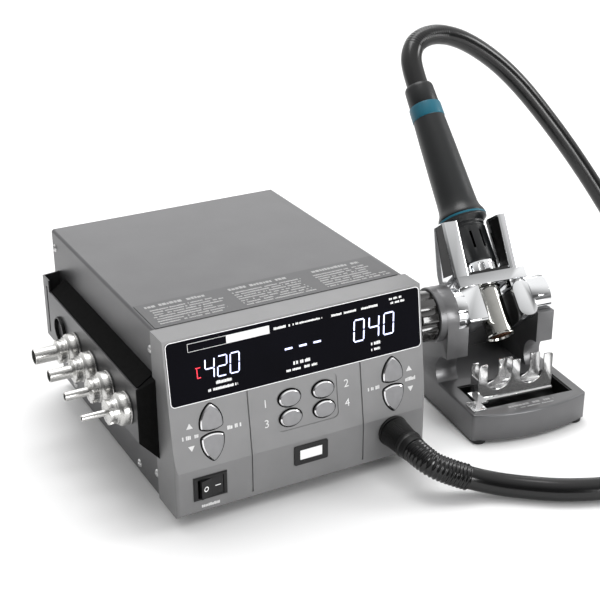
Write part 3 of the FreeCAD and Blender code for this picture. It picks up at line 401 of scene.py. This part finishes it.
# ---------------------------------------------------------------- hose
# The route's points, from the case's lower front left corner, the same as the CAD's.
HOSE_LIES = 0.0
HANDLE_END = [
    (0.2990, 0.1572, 0.2059), (0.3001, 0.1676, 0.2167), (0.3036, 0.1770, 0.2275),
    (0.3140, 0.1840, 0.2375), (0.3360, 0.1855, 0.2405), (0.3660, 0.1825, 0.2295),
    (0.4040, 0.1740, 0.2000), (0.4440, 0.1580, 0.1490), (0.4780, 0.1410, 0.0970),
    (0.4905, 0.1335, 0.0745),
]
BENCH_END = [
    (0.4905, 0.1335, 0.0745), (0.5030, 0.1260, 0.0520), (0.5320, 0.1040, 0.0150),
    (0.5520, 0.0620, HOSE_LIES), (0.5520, -0.0040, HOSE_LIES), (0.5180, -0.0760, HOSE_LIES),
    (0.4520, -0.1300, HOSE_LIES), (0.3740, -0.1510, HOSE_LIES), (0.3000, -0.1440, HOSE_LIES),
    (0.2490, -0.1270, HOSE_LIES), (0.2170, -0.1030, HOSE_LIES), (0.1980, -0.0895, 0.0030),
    (0.1820, -0.0825, 0.0093), (0.1695, -0.0755, 0.0153), (0.1650, -0.0661, 0.0188),
    (0.1645, -0.0570, 0.0198),
]
HOSE_R = 8.0 * MM
RELIEF_LENGTH = 0.083
SLEEVE_LENGTH = 0.044


def route_line(name, route):
    """Points along the smooth line of a hose's route."""
    curve = bpy.data.curves.new(name, "CURVE")
    curve.dimensions = "3D"
    curve.resolution_u = 24
    spline = curve.splines.new("NURBS")
    spline.points.add(len(route) - 1)
    for point, place in zip(spline.points, route):
        point.co = (*(CASE_CORNER + Vector(place)), 1.0)
    spline.order_u = 3
    spline.use_endpoint_u = True
    holder = bpy.data.objects.new(name, curve)
    bpy.context.scene.collection.objects.link(holder)
    mesh = bpy.data.meshes.new_from_object(holder)
    line = [vertex.co.copy() for vertex in mesh.vertices]
    bpy.data.objects.remove(holder)
    return line


def line_length(line):
    return sum((b - a).length for a, b in zip(line, line[1:]))


def even_line(line, step, start=0.0, end=None):
    """The same line with points at an even spacing, between two distances along it."""
    total = line_length(line)
    end = total if end is None else end
    count = max(2, round((end - start) / step))
    wanted = [start + (end - start) * i / count for i in range(count + 1)]
    points = []
    travelled = 0.0
    index = 0
    for distance in wanted:
        while index < len(line) - 2 and travelled + (line[index + 1] - line[index]).length < distance:
            travelled += (line[index + 1] - line[index]).length
            index += 1
        span = line[index + 1] - line[index]
        points.append(line[index] + span * min(1.0, (distance - travelled) / span.length))
    return points


def smooth_step(value):
    value = min(1.0, max(0.0, value))
    return value * value * (3 - 2 * value)


def relief_radius(distance, angle):
    """Plain sleeve at the handle, fine ribs round the bend, and a cuff at the free end."""
    taper = 8.75 - 0.8 * smooth_step(distance / RELIEF_LENGTH)
    ribs = 0.16 * math.cos(2 * math.pi * distance / (2.1 * MM))
    ribs *= smooth_step((distance - 0.034) / 0.006) * smooth_step((0.073 - distance) / 0.002)
    return (taper + ribs) * MM


def sleeve_radius(distance, angle):
    """A coil of round wire under rubber: one ridge that winds along the hose."""
    ridge = math.cos(2 * math.pi * distance / (2.7 * MM) + angle)
    return (8.75 + 0.42 * ridge) * MM


def hose_radius(distance, angle):
    unevenness = 0.004 * math.sin(distance * 90) + 0.003 * math.sin(distance * 47 + 2 * angle)
    return HOSE_R * (0.992 + unevenness)


def make_hose(materials):
    handle_line = route_line("handle_route", HANDLE_END)
    bench_line = route_line("bench_route", BENCH_END)
    bench_length = line_length(bench_line)
    step = 3 * MM
    upper_line = even_line(handle_line, step)
    lower_line = even_line(bench_line, step)
    upper_mesh = tube("hose_from_handle", upper_line, hose_radius)
    upper = bpy.data.objects.new("hose_from_handle", upper_mesh)
    lower_mesh = tube("hose_to_station", lower_line, hose_radius)
    lower = bpy.data.objects.new("hose_to_station", lower_mesh)
    for hose in (upper, lower):
        bpy.context.scene.collection.objects.link(hose)
        hose.data.materials.append(materials["hose"])
    fine = 0.35 * MM
    relief_line = even_line(handle_line, fine, 0.0, RELIEF_LENGTH)
    relief = piece("relief_sleeve", tube("relief_sleeve", relief_line, relief_radius, 48), "handle",
                   materials["hose"])
    sleeve_line = even_line(bench_line, fine, bench_length - SLEEVE_LENGTH, bench_length)
    sleeve = piece("coiled_sleeve", tube("coiled_sleeve", sleeve_line, sleeve_radius, 48), "root",
                   materials["hose"])
    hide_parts("hose_upper")
    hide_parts("hose_relief")
    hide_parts("hose_lower")
    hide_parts("hose_sleeve")
    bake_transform(upper)
    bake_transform(lower)


# ---------------------------------------------------------------- station
SEGMENTS = {"0": "abcdef", "2": "abged", "4": "fgbc"}
SLANT = 0.08                    # how far a digit leans for each mm of height
GLOW_Y = (-0.62, -0.55)         # marks on the window, which stands 0.6 mm before the panel's face
WINDOW_PRINT_Y = (-0.6, -0.55)
FACE_PRINT_Y = (-0.03, 0.02)


def digit(blocks, text, x, z, width, height):
    """One seven-segment digit, leaning a little, with its middle at x, z."""
    bar = 0.135 * width
    gap = 0.25
    half_w = width / 2
    half_h = height / 2
    spans = {
        "a": ((-half_w, half_h), (half_w, half_h)), "g": ((-half_w, 0), (half_w, 0)),
        "d": ((-half_w, -half_h), (half_w, -half_h)), "f": ((-half_w, 0), (-half_w, half_h)),
        "b": ((half_w, 0), (half_w, half_h)), "e": ((-half_w, -half_h), (-half_w, 0)),
        "c": ((half_w, -half_h), (half_w, 0)),
    }
    for name in SEGMENTS[text]:
        (x0, z0), (x1, z1) = spans[name]
        length = math.hypot(x1 - x0, z1 - z0)
        ax, az = (x1 - x0) / length, (z1 - z0) / length
        nx, nz = -az * bar / 2, ax * bar / 2
        tip = bar / 2
        corners = [(gap, 0), (gap + tip, 1), (length - gap - tip, 1), (length - gap, 0),
                   (length - gap - tip, -1), (gap + tip, -1)]
        outline = []
        for along, side in corners:
            px = x0 + ax * along + nx * side
            pz = z0 + az * along + nz * side
            outline.append((x + px + SLANT * pz, z + pz))
        blocks.prism(outline, *GLOW_Y)


def make_display(materials):
    digits = Blocks(PANEL)
    for k, text in enumerate("420"):
        digit(digits, text, 28.8 + 8.9 * k, 67.2, 6.3, 13.6)
    for k, text in enumerate("040"):
        digit(digits, text, 139.4 + 11.7 * k, 68.5, 7.6, 15.0)
    for k in range(3):
        x = 83.0 + 10.7 * k
        digits.box((x, GLOW_Y[0], 67.0), (x + 5.6, GLOW_Y[1], 68.3))
    digits.piece("display_digits", "root", materials["glow_white"], "window_black")
    mark = Blocks(PANEL)
    for x0, z0, x1, z1 in ((19.7, 62.8, 20.3, 69.0), (19.7, 62.2, 22.4, 62.8), (19.0, 69.0, 22.4, 69.6)):
        mark.box((x0, GLOW_Y[0], z0), (x1, GLOW_Y[1], z1))
    mark.piece("display_unit_mark", "root", materials["glow_red"], "window_black")


def word_bars(blocks, rng, x0, x1, z, height, depth, smallest, largest):
    """A row of short plain bars, in place of a line of lettering; their widths lie between two limits."""
    x = x0
    while x < x1:
        width = rng.uniform(smallest, largest)
        if rng.random() > 0.16:
            drop = rng.uniform(0, 0.25) * height
            blocks.box((x, depth[0], z), (min(x + width, x1), depth[1], z + height - drop))
        x += width + 0.35 * smallest


def make_window_print(materials):
    rng = random.Random(4)
    marks = Blocks(PANEL)
    rows = [(30.5, 43.5, 55.6, 2.4), (26.5, 47.5, 51.6, 1.9),
            (87.5, 101.0, 55.6, 2.4), (83.0, 106.0, 51.6, 1.9),
            (147.5, 155.5, 55.6, 2.4), (148.0, 155.0, 51.6, 1.9), (76.0, 88.0, 82.6, 2.0),
            (90.0, 112.0, 82.8, 1.4), (119.0, 155.0, 82.4, 1.7),
            (164.0, 176.0, 84.6, 1.6), (164.0, 176.0, 81.6, 1.6)]
    for x0, x1, z, height in rows:
        word_bars(marks, rng, x0, x1, z, height, WINDOW_PRINT_Y, 0.5, 1.3)
    left, middle, right = 15.0, 42.0, 73.0
    low, high = 81.0, 86.65
    line = 0.25
    plain_badge = ((left, low, right, low + line), (left, high - line, right, high),
                   (left, low, left + line, high), (right - line, low, right, high),
                   (middle, low, right, high))
    for x0, z0, x1, z1 in plain_badge:
        marks.box((x0, WINDOW_PRINT_Y[0], z0), (x1, WINDOW_PRINT_Y[1], z1))
    marks.piece("window_print", "root", materials["bright_print"], "window_black")


def make_key_marks(materials):
    rng = random.Random(9)
    marks = Blocks(PANEL)
    for x, z, way in ((11.3, 31.4, 1), (11.4, 15.5, -1), (177.6, 32.1, 1), (178.2, 16.6, -1)):
        arrow = [(x - 2.3, z - 1.9 * way), (x + 2.3, z - 1.9 * way), (x, z + 1.9 * way)]
        marks.prism(arrow, *FACE_PRINT_Y)
    for x0, x1, z in ((5.5, 17.0, 22.3), (37.5, 48.0, 22.3), (173.0, 182.5, 22.8), (144.0, 154.5, 22.8)):
        word_bars(marks, rng, x0, x1, z, 2.8, FACE_PRINT_Y, 0.6, 1.4)
    marks.piece("key_marks", "root", materials["print"], "fascia_plastic")
    switch_word = Blocks(LOWER)
    word_bars(switch_word, rng, 16.0, 29.0, 5.0, 2.2, FACE_PRINT_Y, 0.6, 1.3)
    switch_word.piece("switch_word", "root", materials["print"], "fascia_plastic")


def make_channel_numbers(materials):
    numbers = (("1", 66.0, 30.4), ("2", 127.5, 30.4), ("3", 66.0, 16.2), ("4", 127.5, 16.2))
    for text, x, z in numbers:
        curve = bpy.data.curves.new("number", "FONT")
        curve.body = text
        curve.size = 8.0 * MM
        curve.extrude = 0.02 * MM
        curve.align_x = "CENTER"
        holder = bpy.data.objects.new("number", curve)
        bpy.context.scene.collection.objects.link(holder)
        mesh = bpy.data.meshes.new_from_object(holder)
        bpy.data.objects.remove(holder)
        mesh.transform(PANEL @ Matrix.Translation(Vector((x, -0.01, z)) * MM)
                       @ Matrix.Rotation(math.pi / 2, 4, "X"))
        piece("channel_number_" + text, mesh, "root", materials["print"])


def make_guide_print(materials):
    """Three blocks of fine plain bars on the film along the front of the case's top."""
    rng = random.Random(21)
    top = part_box("guide_plate")[1].z - CASE_CORNER.z
    flat = STATION @ Matrix.Translation((0, 0, top)) @ Matrix.Rotation(-math.pi / 2, 4, "X")
    marks = Blocks(flat)
    for x0, x1 in ((8.0, 62.0), (69.0, 124.0), (131.0, 181.0)):
        word_bars(marks, rng, x0, x0 + 0.8 * (x1 - x0), 31.0, 3.6, FACE_PRINT_Y, 1.4, 3.0)
        for row in range(7):
            end = x1 - rng.uniform(0, 14)
            word_bars(marks, rng, x0, end, 25.6 - 3.5 * row, 1.8, FACE_PRINT_Y, 0.5, 1.7)
    marks.piece("guide_print", "root", materials["grey_print"], "guide_film")


SLAB_TOP = 21.0 * MM        # top of the stand's foot


def make_base_print(materials):
    """Two rows of plain bars on the front of the stand's top."""
    rng = random.Random(33)
    flat = STAND @ Matrix.Translation((0, 0, SLAB_TOP)) @ Matrix.Rotation(-math.pi / 2, 4, "X")
    marks = Blocks(flat)
    word_bars(marks, rng, 30.0, 68.0, 0.4, 2.6, FACE_PRINT_Y, 1.2, 3.4)
    word_bars(marks, rng, 32.0, 66.0, -3.0, 1.5, FACE_PRINT_Y, 0.7, 1.8)
    marks.piece("base_print", "root", materials["grey_print"], "stand_paint")


def make_window_edge_highlight(materials):
    """Thin ring on the display window's edge, in bright chrome: a painted highlight along the window's edge."""
    x0, x1, z0, z1 = 0.0, 188.0, 46.2, 89.9
    corner = 3.2
    width = 0.45
    outline = []
    for cx, cz, start in ((x1 - corner, z1 - corner, 0), (x0 + corner, z1 - corner, 90),
                          (x0 + corner, z0 + corner, 180), (x1 - corner, z0 + corner, 270)):
        for i in range(9):
            angle = math.radians(start + 90 * i / 8)
            outline.append((cx, cz, math.cos(angle), math.sin(angle)))
    count = len(outline)
    points = []
    for radius, y in ((corner, -0.05), (corner, -0.62), (corner - width, -0.62), (corner - width, -0.05)):
        points += [((cx + radius * c) * MM, y * MM, (cz + radius * s) * MM) for cx, cz, c, s in outline]
    faces = []
    for ring in range(4):
        following = (ring + 1) % 4
        for i in range(count):
            j = (i + 1) % count
            faces.append((ring * count + i, ring * count + j, following * count + j, following * count + i))
    # the window's edge in bright chrome: a painted highlight
    mesh = mesh_of("window_edge_highlight", points, faces, PANEL)
    piece("window_edge_highlight", mesh, "root", materials["chrome_rim_and_edge_highlight"])


ROCKER_REST = math.radians(10)          # the rocker leans to one side at rest
ROCKER_SLOPE = math.atan2(1.1, 8.4)     # each half of its face slopes in to the middle
ROCKER_MARK_X, ROCKER_MARK_Y = 4.6, -3.1
ROCKER_PRINT_Y = (-0.06, 0.05)


def rocker_face(side):
    """Blocks on the left half (side -1) or the right half (side 1) of the rocker's face."""
    middle = Vector((side * ROCKER_MARK_X, ROCKER_MARK_Y, 0)) * MM
    turned = Matrix.Translation(JOINTS["power_switch_rock"]["pos_m"]) @ Matrix.Rotation(ROCKER_REST, 4, "Z")
    return Blocks(turned @ Matrix.Translation(middle) @ Matrix.Rotation(-side * ROCKER_SLOPE, 4, "Z"))


def make_rocker_marks(materials):
    """The ring and the bar on the two halves of the power rocker."""
    ring = rocker_face(-1)
    steps = 24
    radius = 1.9
    outer = [(radius * math.cos(2 * math.pi * i / steps), radius * math.sin(2 * math.pi * i / steps))
             for i in range(steps)]
    inner = [(0.68 * x, 0.68 * z) for x, z in outer]
    for i in range(steps):
        j = (i + 1) % steps
        ring.prism([outer[i], outer[j], inner[j], inner[i]], *ROCKER_PRINT_Y)
    ring.piece("rocker_ring", "power_rocker", materials["bright_print"], "black_plastic")
    bar = rocker_face(1)
    bar.box((-2.0, ROCKER_PRINT_Y[0], -0.3), (2.0, ROCKER_PRINT_Y[1], 0.3))
    bar.piece("rocker_bar", "power_rocker", materials["bright_print"], "black_plastic")


NOTCH_R = 8.0
NOTCH_LOW, NOTCH_HIGH = 12.2, 14.9
NOTCH_HALF_TURN = 0.15      # half of a notch's width, in radians


def crown_shape(radius, height, angle):
    """Six notches in the end of a nozzle's collar."""
    sixth = math.pi / 3
    beside = abs((angle + sixth / 2) % sixth - sixth / 2)
    notched = NOTCH_LOW < height < NOTCH_HIGH and beside < NOTCH_HALF_TURN
    return min(radius, NOTCH_R) if notched else radius


NOZZLE_BORES = (3.0, 5.0, 7.5, 10.0)


def make_nozzles(materials):
    for index, bore in enumerate(NOZZLE_BORES):
        name = "nozzle_%d" % (index + 1)
        low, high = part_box(name)
        middle = (low + high) / 2
        place = Matrix.Translation((high.x, middle.y, middle.z)) @ Matrix.Rotation(-math.pi / 2, 4, "Y")
        length = (high.x - low.x) / MM
        r = bore / 2 + 0.7
        profile = [(10.7, 0.0), (11.15, 0.0), (11.38, 0.25), (11.38, 0.8), (11.15, 1.1), (11.15, 1.7)]
        profile += [(11.38, 2.0), (11.38, 5.6), (11.2, 6.3), (10.5, 7.2)]
        profile += [(9.7, 7.7), (9.35, 8.2), (9.3, 9.0)]
        profile += [(8.75, 9.4), (8.7, 11.9), (8.8, 12.3), (8.8, 14.2), (8.5, 14.6), (7.6, 14.75)]
        profile += [(r + 1.1, 15.0), (r + 0.3, 15.5), (r, 16.2), (r, length - 0.15)]
        profile += [(r - 0.15, length), (r - 0.6, length), (r - 0.7, length - 0.15)]
        profile += [(r - 0.7, 15.6), (7.4, 12.6), (7.4, 8.6), (10.4, 7.2), (10.5, 0.3)]
        mesh = lathe(name + "_skin", profile, place, 144, crown_shape, 30)
        skin = piece(name + "_skin", mesh, name, materials["nickel"])
        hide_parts(name)


KEYS = ["temp_up_button", "temp_down_button", "air_up_button", "air_down_button",
        "channel_1_button", "channel_2_button", "channel_3_button", "channel_4_button"]
FLANGE_Y = 2.8 * MM         # how far the keys' hidden flanges lie behind the panel's face
CAP_SHARP = 20              # degrees
RIM_TURN = (0.3, 0.93)      # cosines between a cap's bevel and the way it faces


def make_keys(materials):
    """Key caps with a bright bevel, and round each in the front a near-black ring on the panel's face, painted
    shade of the gap.
    """
    for name in KEYS:
        cap_mesh = frame["nodes"][name].data.copy()
        finish_mesh(cap_mesh, CAP_SHARP)
        cap = piece(name + "_cap", cap_mesh, name, materials["key"])
        cap_mesh.materials.append(materials["chrome_rim_and_edge_highlight"])
        for face in cap_mesh.polygons:
            face.material_index = int(RIM_TURN[0] < face.normal.dot(-PRESS) < RIM_TURN[1])
        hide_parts(name)
        # a near-black ring on the panel's face round the key: painted shade of the gap
        gap = painted_shade_ring(name)
        piece(name + "_gap", gap, "root", materials["gap_painted_shade"])


def painted_shade_ring(name):
    """The key's hidden flange, lifted to the face of the panel as a thin dark ring: painted shade of the gap round
    the key.
    """
    work = bmesh.new()
    work.from_mesh(frame["nodes"][name].data)
    bmesh.ops.remove_doubles(work, verts=work.verts, dist=SAME_PLACE)
    to_panel = PANEL.inverted()
    others = []
    for face in work.faces:
        middle = to_panel @ face.calc_center_median()
        if face.normal.dot(-PRESS) < 0.98 or abs(middle.y - FLANGE_Y) > 0.1 * MM:
            others.append(face)
    bmesh.ops.delete(work, geom=others, context="FACES")
    for vertex in work.verts:
        vertex.co -= PRESS * (FLANGE_Y + 0.03 * MM)
    grown = bmesh.ops.extrude_face_region(work, geom=work.faces[:])
    moved = [item for item in grown["geom"] if isinstance(item, bmesh.types.BMVert)]
    bmesh.ops.translate(work, verts=moved, vec=PRESS * 0.06 * MM)
    bmesh.ops.recalc_face_normals(work, faces=work.faces)
    mesh = bpy.data.meshes.new(name + "_gap")
    work.to_mesh(mesh)
    work.free()
    return mesh


BOOT_TIP = Vector((164.5, -57.0, 19.8)) * MM
BOOT_ROOT = Vector((163.0, -31.6, 22.6)) * MM


def make_boot(materials):
    """Rubber boot on the front: a flat collar and a cone that ends in a ring round the hose."""
    axis = BOOT_TIP - BOOT_ROOT
    outward = Vector((0, -1, 0))
    collar = [(0.05, 0.05), (11.3, 0.05), (11.6, 0.3), (11.6, 1.3), (11.2, 1.9), (0.05, 2.0)]
    place = STATION @ Matrix.Translation(BOOT_ROOT) @ UP.rotation_difference(outward).to_matrix().to_4x4()
    mesh = lathe("boot_collar", collar, place, 96)
    piece("boot_collar", mesh, "root", materials["rubber"])
    end = axis.length / MM
    cone = [(0.05, 1.0), (10.8, 1.0)]
    for rib in range(11):
        height = 2.2 + 1.3 * rib
        radius = 11.15 - 0.12 * rib
        cone += [(radius, height), (radius, height + 0.7), (radius - 0.28, height + 0.8),
                 (radius - 0.28, height + 1.2)]
    cone += [(9.7, 16.7), (9.7, 17.2), (10.2, 17.5), (10.45, 18.2), (10.45, 19.6), (10.2, 20.3)]
    cone += [(9.6, 20.7), (9.55, 23.5), (9.4, end - 0.3), (9.0, end), (0.05, end)]
    place = STATION @ Matrix.Translation(BOOT_ROOT) @ UP.rotation_difference(axis).to_matrix().to_4x4()
    mesh = lathe("boot_cone", cone, place, 96)
    boot = piece("boot_cone", mesh, "root", materials["rubber"])
    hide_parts("hose_boot")


KNOB_END = -6.4         # where the knob's wide part ends, across the stand, in mm
KNOB_HUB_R = 12.3
DISC_FACE = -1.0        # left face of the ear's disc
COLLAR_GAP = 0.4


def make_knob(materials):
    """The clamp knob, a little shorter, and the plain collar of the casting that it turns in."""
    knob = softened("clamp_knob", materials["knob"], 0.9)
    to_stand = STAND.inverted()
    for vertex in knob.data.vertices:
        place = (to_stand @ vertex.co) / MM
        radius = math.hypot(place.y - HINGE_IN_STAND.y / MM, place.z - HINGE_IN_STAND.z / MM)
        if place.x > KNOB_END and radius > KNOB_HUB_R:
            vertex.co = STAND @ (Vector((KNOB_END, place.y, place.z)) * MM)
    deep = DISC_FACE - KNOB_END - COLLAR_GAP
    collar = [(12.6, 0.0), (20.4, 0.0), (21.0, 0.6), (21.0, deep), (12.6, deep)]
    root = Vector(((KNOB_END + COLLAR_GAP) * MM, HINGE_IN_STAND.y, HINGE_IN_STAND.z))
    place = STAND @ Matrix.Translation(root) @ Matrix.Rotation(math.pi / 2, 4, "Y")
    mesh = lathe("ear_collar", collar, place, 96)
    piece("ear_collar", mesh, "root", materials["stand_paint"])


# ---------------------------------------------------------------- handle
def make_handle(materials):
    grip = [(12.9, 71.6), (18.7, 71.6), (18.9, 71.9), (18.9, 73.0), (18.3, 74.6), (17.2, 76.6),
            (16.3, 79.0), (15.8, 82.0), (15.5, 88.0), (15.2, 97.0), (14.7, 112.0), (14.0, 132.0),
            (13.3, 150.0), (12.85, 159.0), (10.9, 159.0), (12.4, 116.0)]
    make_turned("grip", grip, materials["grip"])
    band = [(9.8, 159.0), (12.9, 159.0), (13.15, 159.3), (13.25, 160.0), (13.05, 170.0), (12.85, 170.8),
            (12.5, 171.0), (9.8, 171.0)]
    make_turned("grip_band", band, materials["teal"])
    cap = [(8.9, 171.0), (12.0, 171.0), (12.1, 171.3), (11.75, 186.0), (11.4, 187.8), (10.6, 188.9),
           (9.0, 189.0), (0.05, 189.0), (0.05, 186.6), (8.9, 186.5)]
    make_turned("grip_end_cap", cap, materials["grip"])
    ring = [(13.0, 70.0), (18.9, 70.0), (19.25, 70.3), (19.3, 70.8), (19.25, 71.3), (18.9, 71.6),
            (13.0, 71.6)]
    make_turned("flange_ring", ring, materials["teal"])


def make_turned(node, profile, material):
    mesh = lathe(node + "_skin", profile, GUN, 112, sharp=38)
    skin = piece(node + "_skin", mesh, "handle", material)
    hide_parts(node)


# ---------------------------------------------------------------- floor and light
SKY_AXIS = Vector((0.30, 0.62, 0.72)).normalized()      # the studio is brightest behind and above
SKY_DARK, SKY_BRIGHT = 0.10, 1.15


def make_sky():
    """Soft light that fades from the back of the studio to a dim front left."""
    world = bpy.data.worlds.new("studio")
    world.use_nodes = True
    tree = world.node_tree
    place = tree.nodes.new("ShaderNodeTexCoord")
    facing = tree.nodes.new("ShaderNodeVectorMath")
    facing.operation = "DOT_PRODUCT"
    facing.inputs[1].default_value = SKY_AXIS
    level = tree.nodes.new("ShaderNodeMapRange")
    level.interpolation_type = "SMOOTHSTEP"
    level.inputs["From Min"].default_value = -0.35
    level.inputs["From Max"].default_value = 0.75
    level.inputs["To Min"].default_value = SKY_DARK
    level.inputs["To Max"].default_value = SKY_BRIGHT
    back = tree.nodes["Background"]
    tree.links.new(place.outputs["Generated"], facing.inputs[0])
    tree.links.new(facing.outputs["Value"], level.inputs["Value"])
    tree.links.new(level.outputs["Result"], back.inputs["Strength"])
    back.inputs["Color"].default_value = (1.0, 1.0, 1.0, 1)
    bpy.context.scene.world = world


LIGHTS = {      # place and aim in metres, size in metres, watts
    "top": ((0.1, 0.5, 1.7), (0, 0, 0.05), 0.9, 14.0),
    "back": ((1.0, 2.1, 1.1), (0, 0, 0.10), 1.8, 8.0),
    "front": ((0.5, -2.0, 0.35), (0.05, 0, 0.08), 0.8, 24.0),
    "right": ((1.6, -0.5, 0.9), (0.1, 0, 0.12), 0.5, 7.0),
}


FLOOR_REACH = 30.0


def make_stage():
    floor_mesh = bpy.data.meshes.new("floor")
    reach = FLOOR_REACH
    floor_mesh.from_pydata([(-reach, -reach, 0), (reach, -reach, 0), (reach, reach, 0), (-reach, reach, 0)],
                           [], [(0, 1, 2, 3)])
    floor = bpy.data.objects.new("floor", floor_mesh)
    bpy.context.scene.collection.objects.link(floor)
    floor_mesh.materials.append(surface("floor", (0.93, 0.93, 0.93), 0.8, 0, 0, 5, 0.01, 300, specular=0.1))
    make_sky()
    for name, (place, target, size, power) in LIGHTS.items():
        data = bpy.data.lights.new(name, "AREA")
        data.size = size
        data.energy = power
        light = bpy.data.objects.new(name, data)
        light.location = place
        light.rotation_mode = "QUATERNION"
        light.rotation_quaternion = (Vector(target) - Vector(place)).to_track_quat("-Z", "Y")
        bpy.context.scene.collection.objects.link(light)
    bpy.context.scene.view_settings.view_transform = "Standard"


# ---------------------------------------------------------------- carried-over nodes
NODE_FINISH = {
    "case_paint": ["cover", "rear_panel"],
    "fascia": ["front_panel"],
    "window": ["display_window"],
    "black": ["sensor_bezel", "switch_body", "power_rocker", "blower_housing", "blower_impeller",
              "air_pipe", "mains_inlet", "fuse_holder"],
    "foam": ["bracket_liner"],
    # cradle_pads: black inlays on the cradle where its chrome shows dark, painted shade of recesses there
    "rubber": ["nozzle_seats", "case_feet", "stand_feet", "tray_liner", "cradle_pads"],
    "film": ["guide_plate"],
    "steel": ["chassis", "case_screws", "puller_screws", "clamp_stud"],
    "tube": ["heater_tube"],
    "ceramic": ["heater_core"],
    "lens": ["sensor_lens"],
    "board": ["control_board", "main_board", "handle_board"],
    "core": ["blower_motor", "transformer"],
}


ROUNDED = {         # node: finish, edge radius in mm, slot
    "nozzle_bracket": ("case_paint", 0.4, "case_paint"),
    "cradle": ("chrome", 1.3, "polished_chrome"),
    "nozzle_puller": ("bright_steel", 0.35, "polished_chrome"),
    "lock_nut": ("chrome", 0.5, "polished_chrome"),
    "stand_base": ("stand_paint", 1.5, "stand_paint"),
    "front_barrel": ("grip", 0.3, "silver_barrel"),
}


def main():
    make_camera()
    materials = make_materials()
    make_hose(materials)
    for finish, nodes_with_it in NODE_FINISH.items():
        for node in nodes_with_it:
            finish_node(node, materials[finish])
    for node, (finish, width, slot) in ROUNDED.items():
        softened(node, materials[finish], width)
    make_keys(materials)
    make_boot(materials)
    make_knob(materials)
    make_display(materials)
    make_window_print(materials)
    make_key_marks(materials)
    make_channel_numbers(materials)
    make_guide_print(materials)
    make_base_print(materials)
    make_window_edge_highlight(materials)
    make_rocker_marks(materials)
    make_nozzles(materials)
    make_handle(materials)
    make_stage()


main()
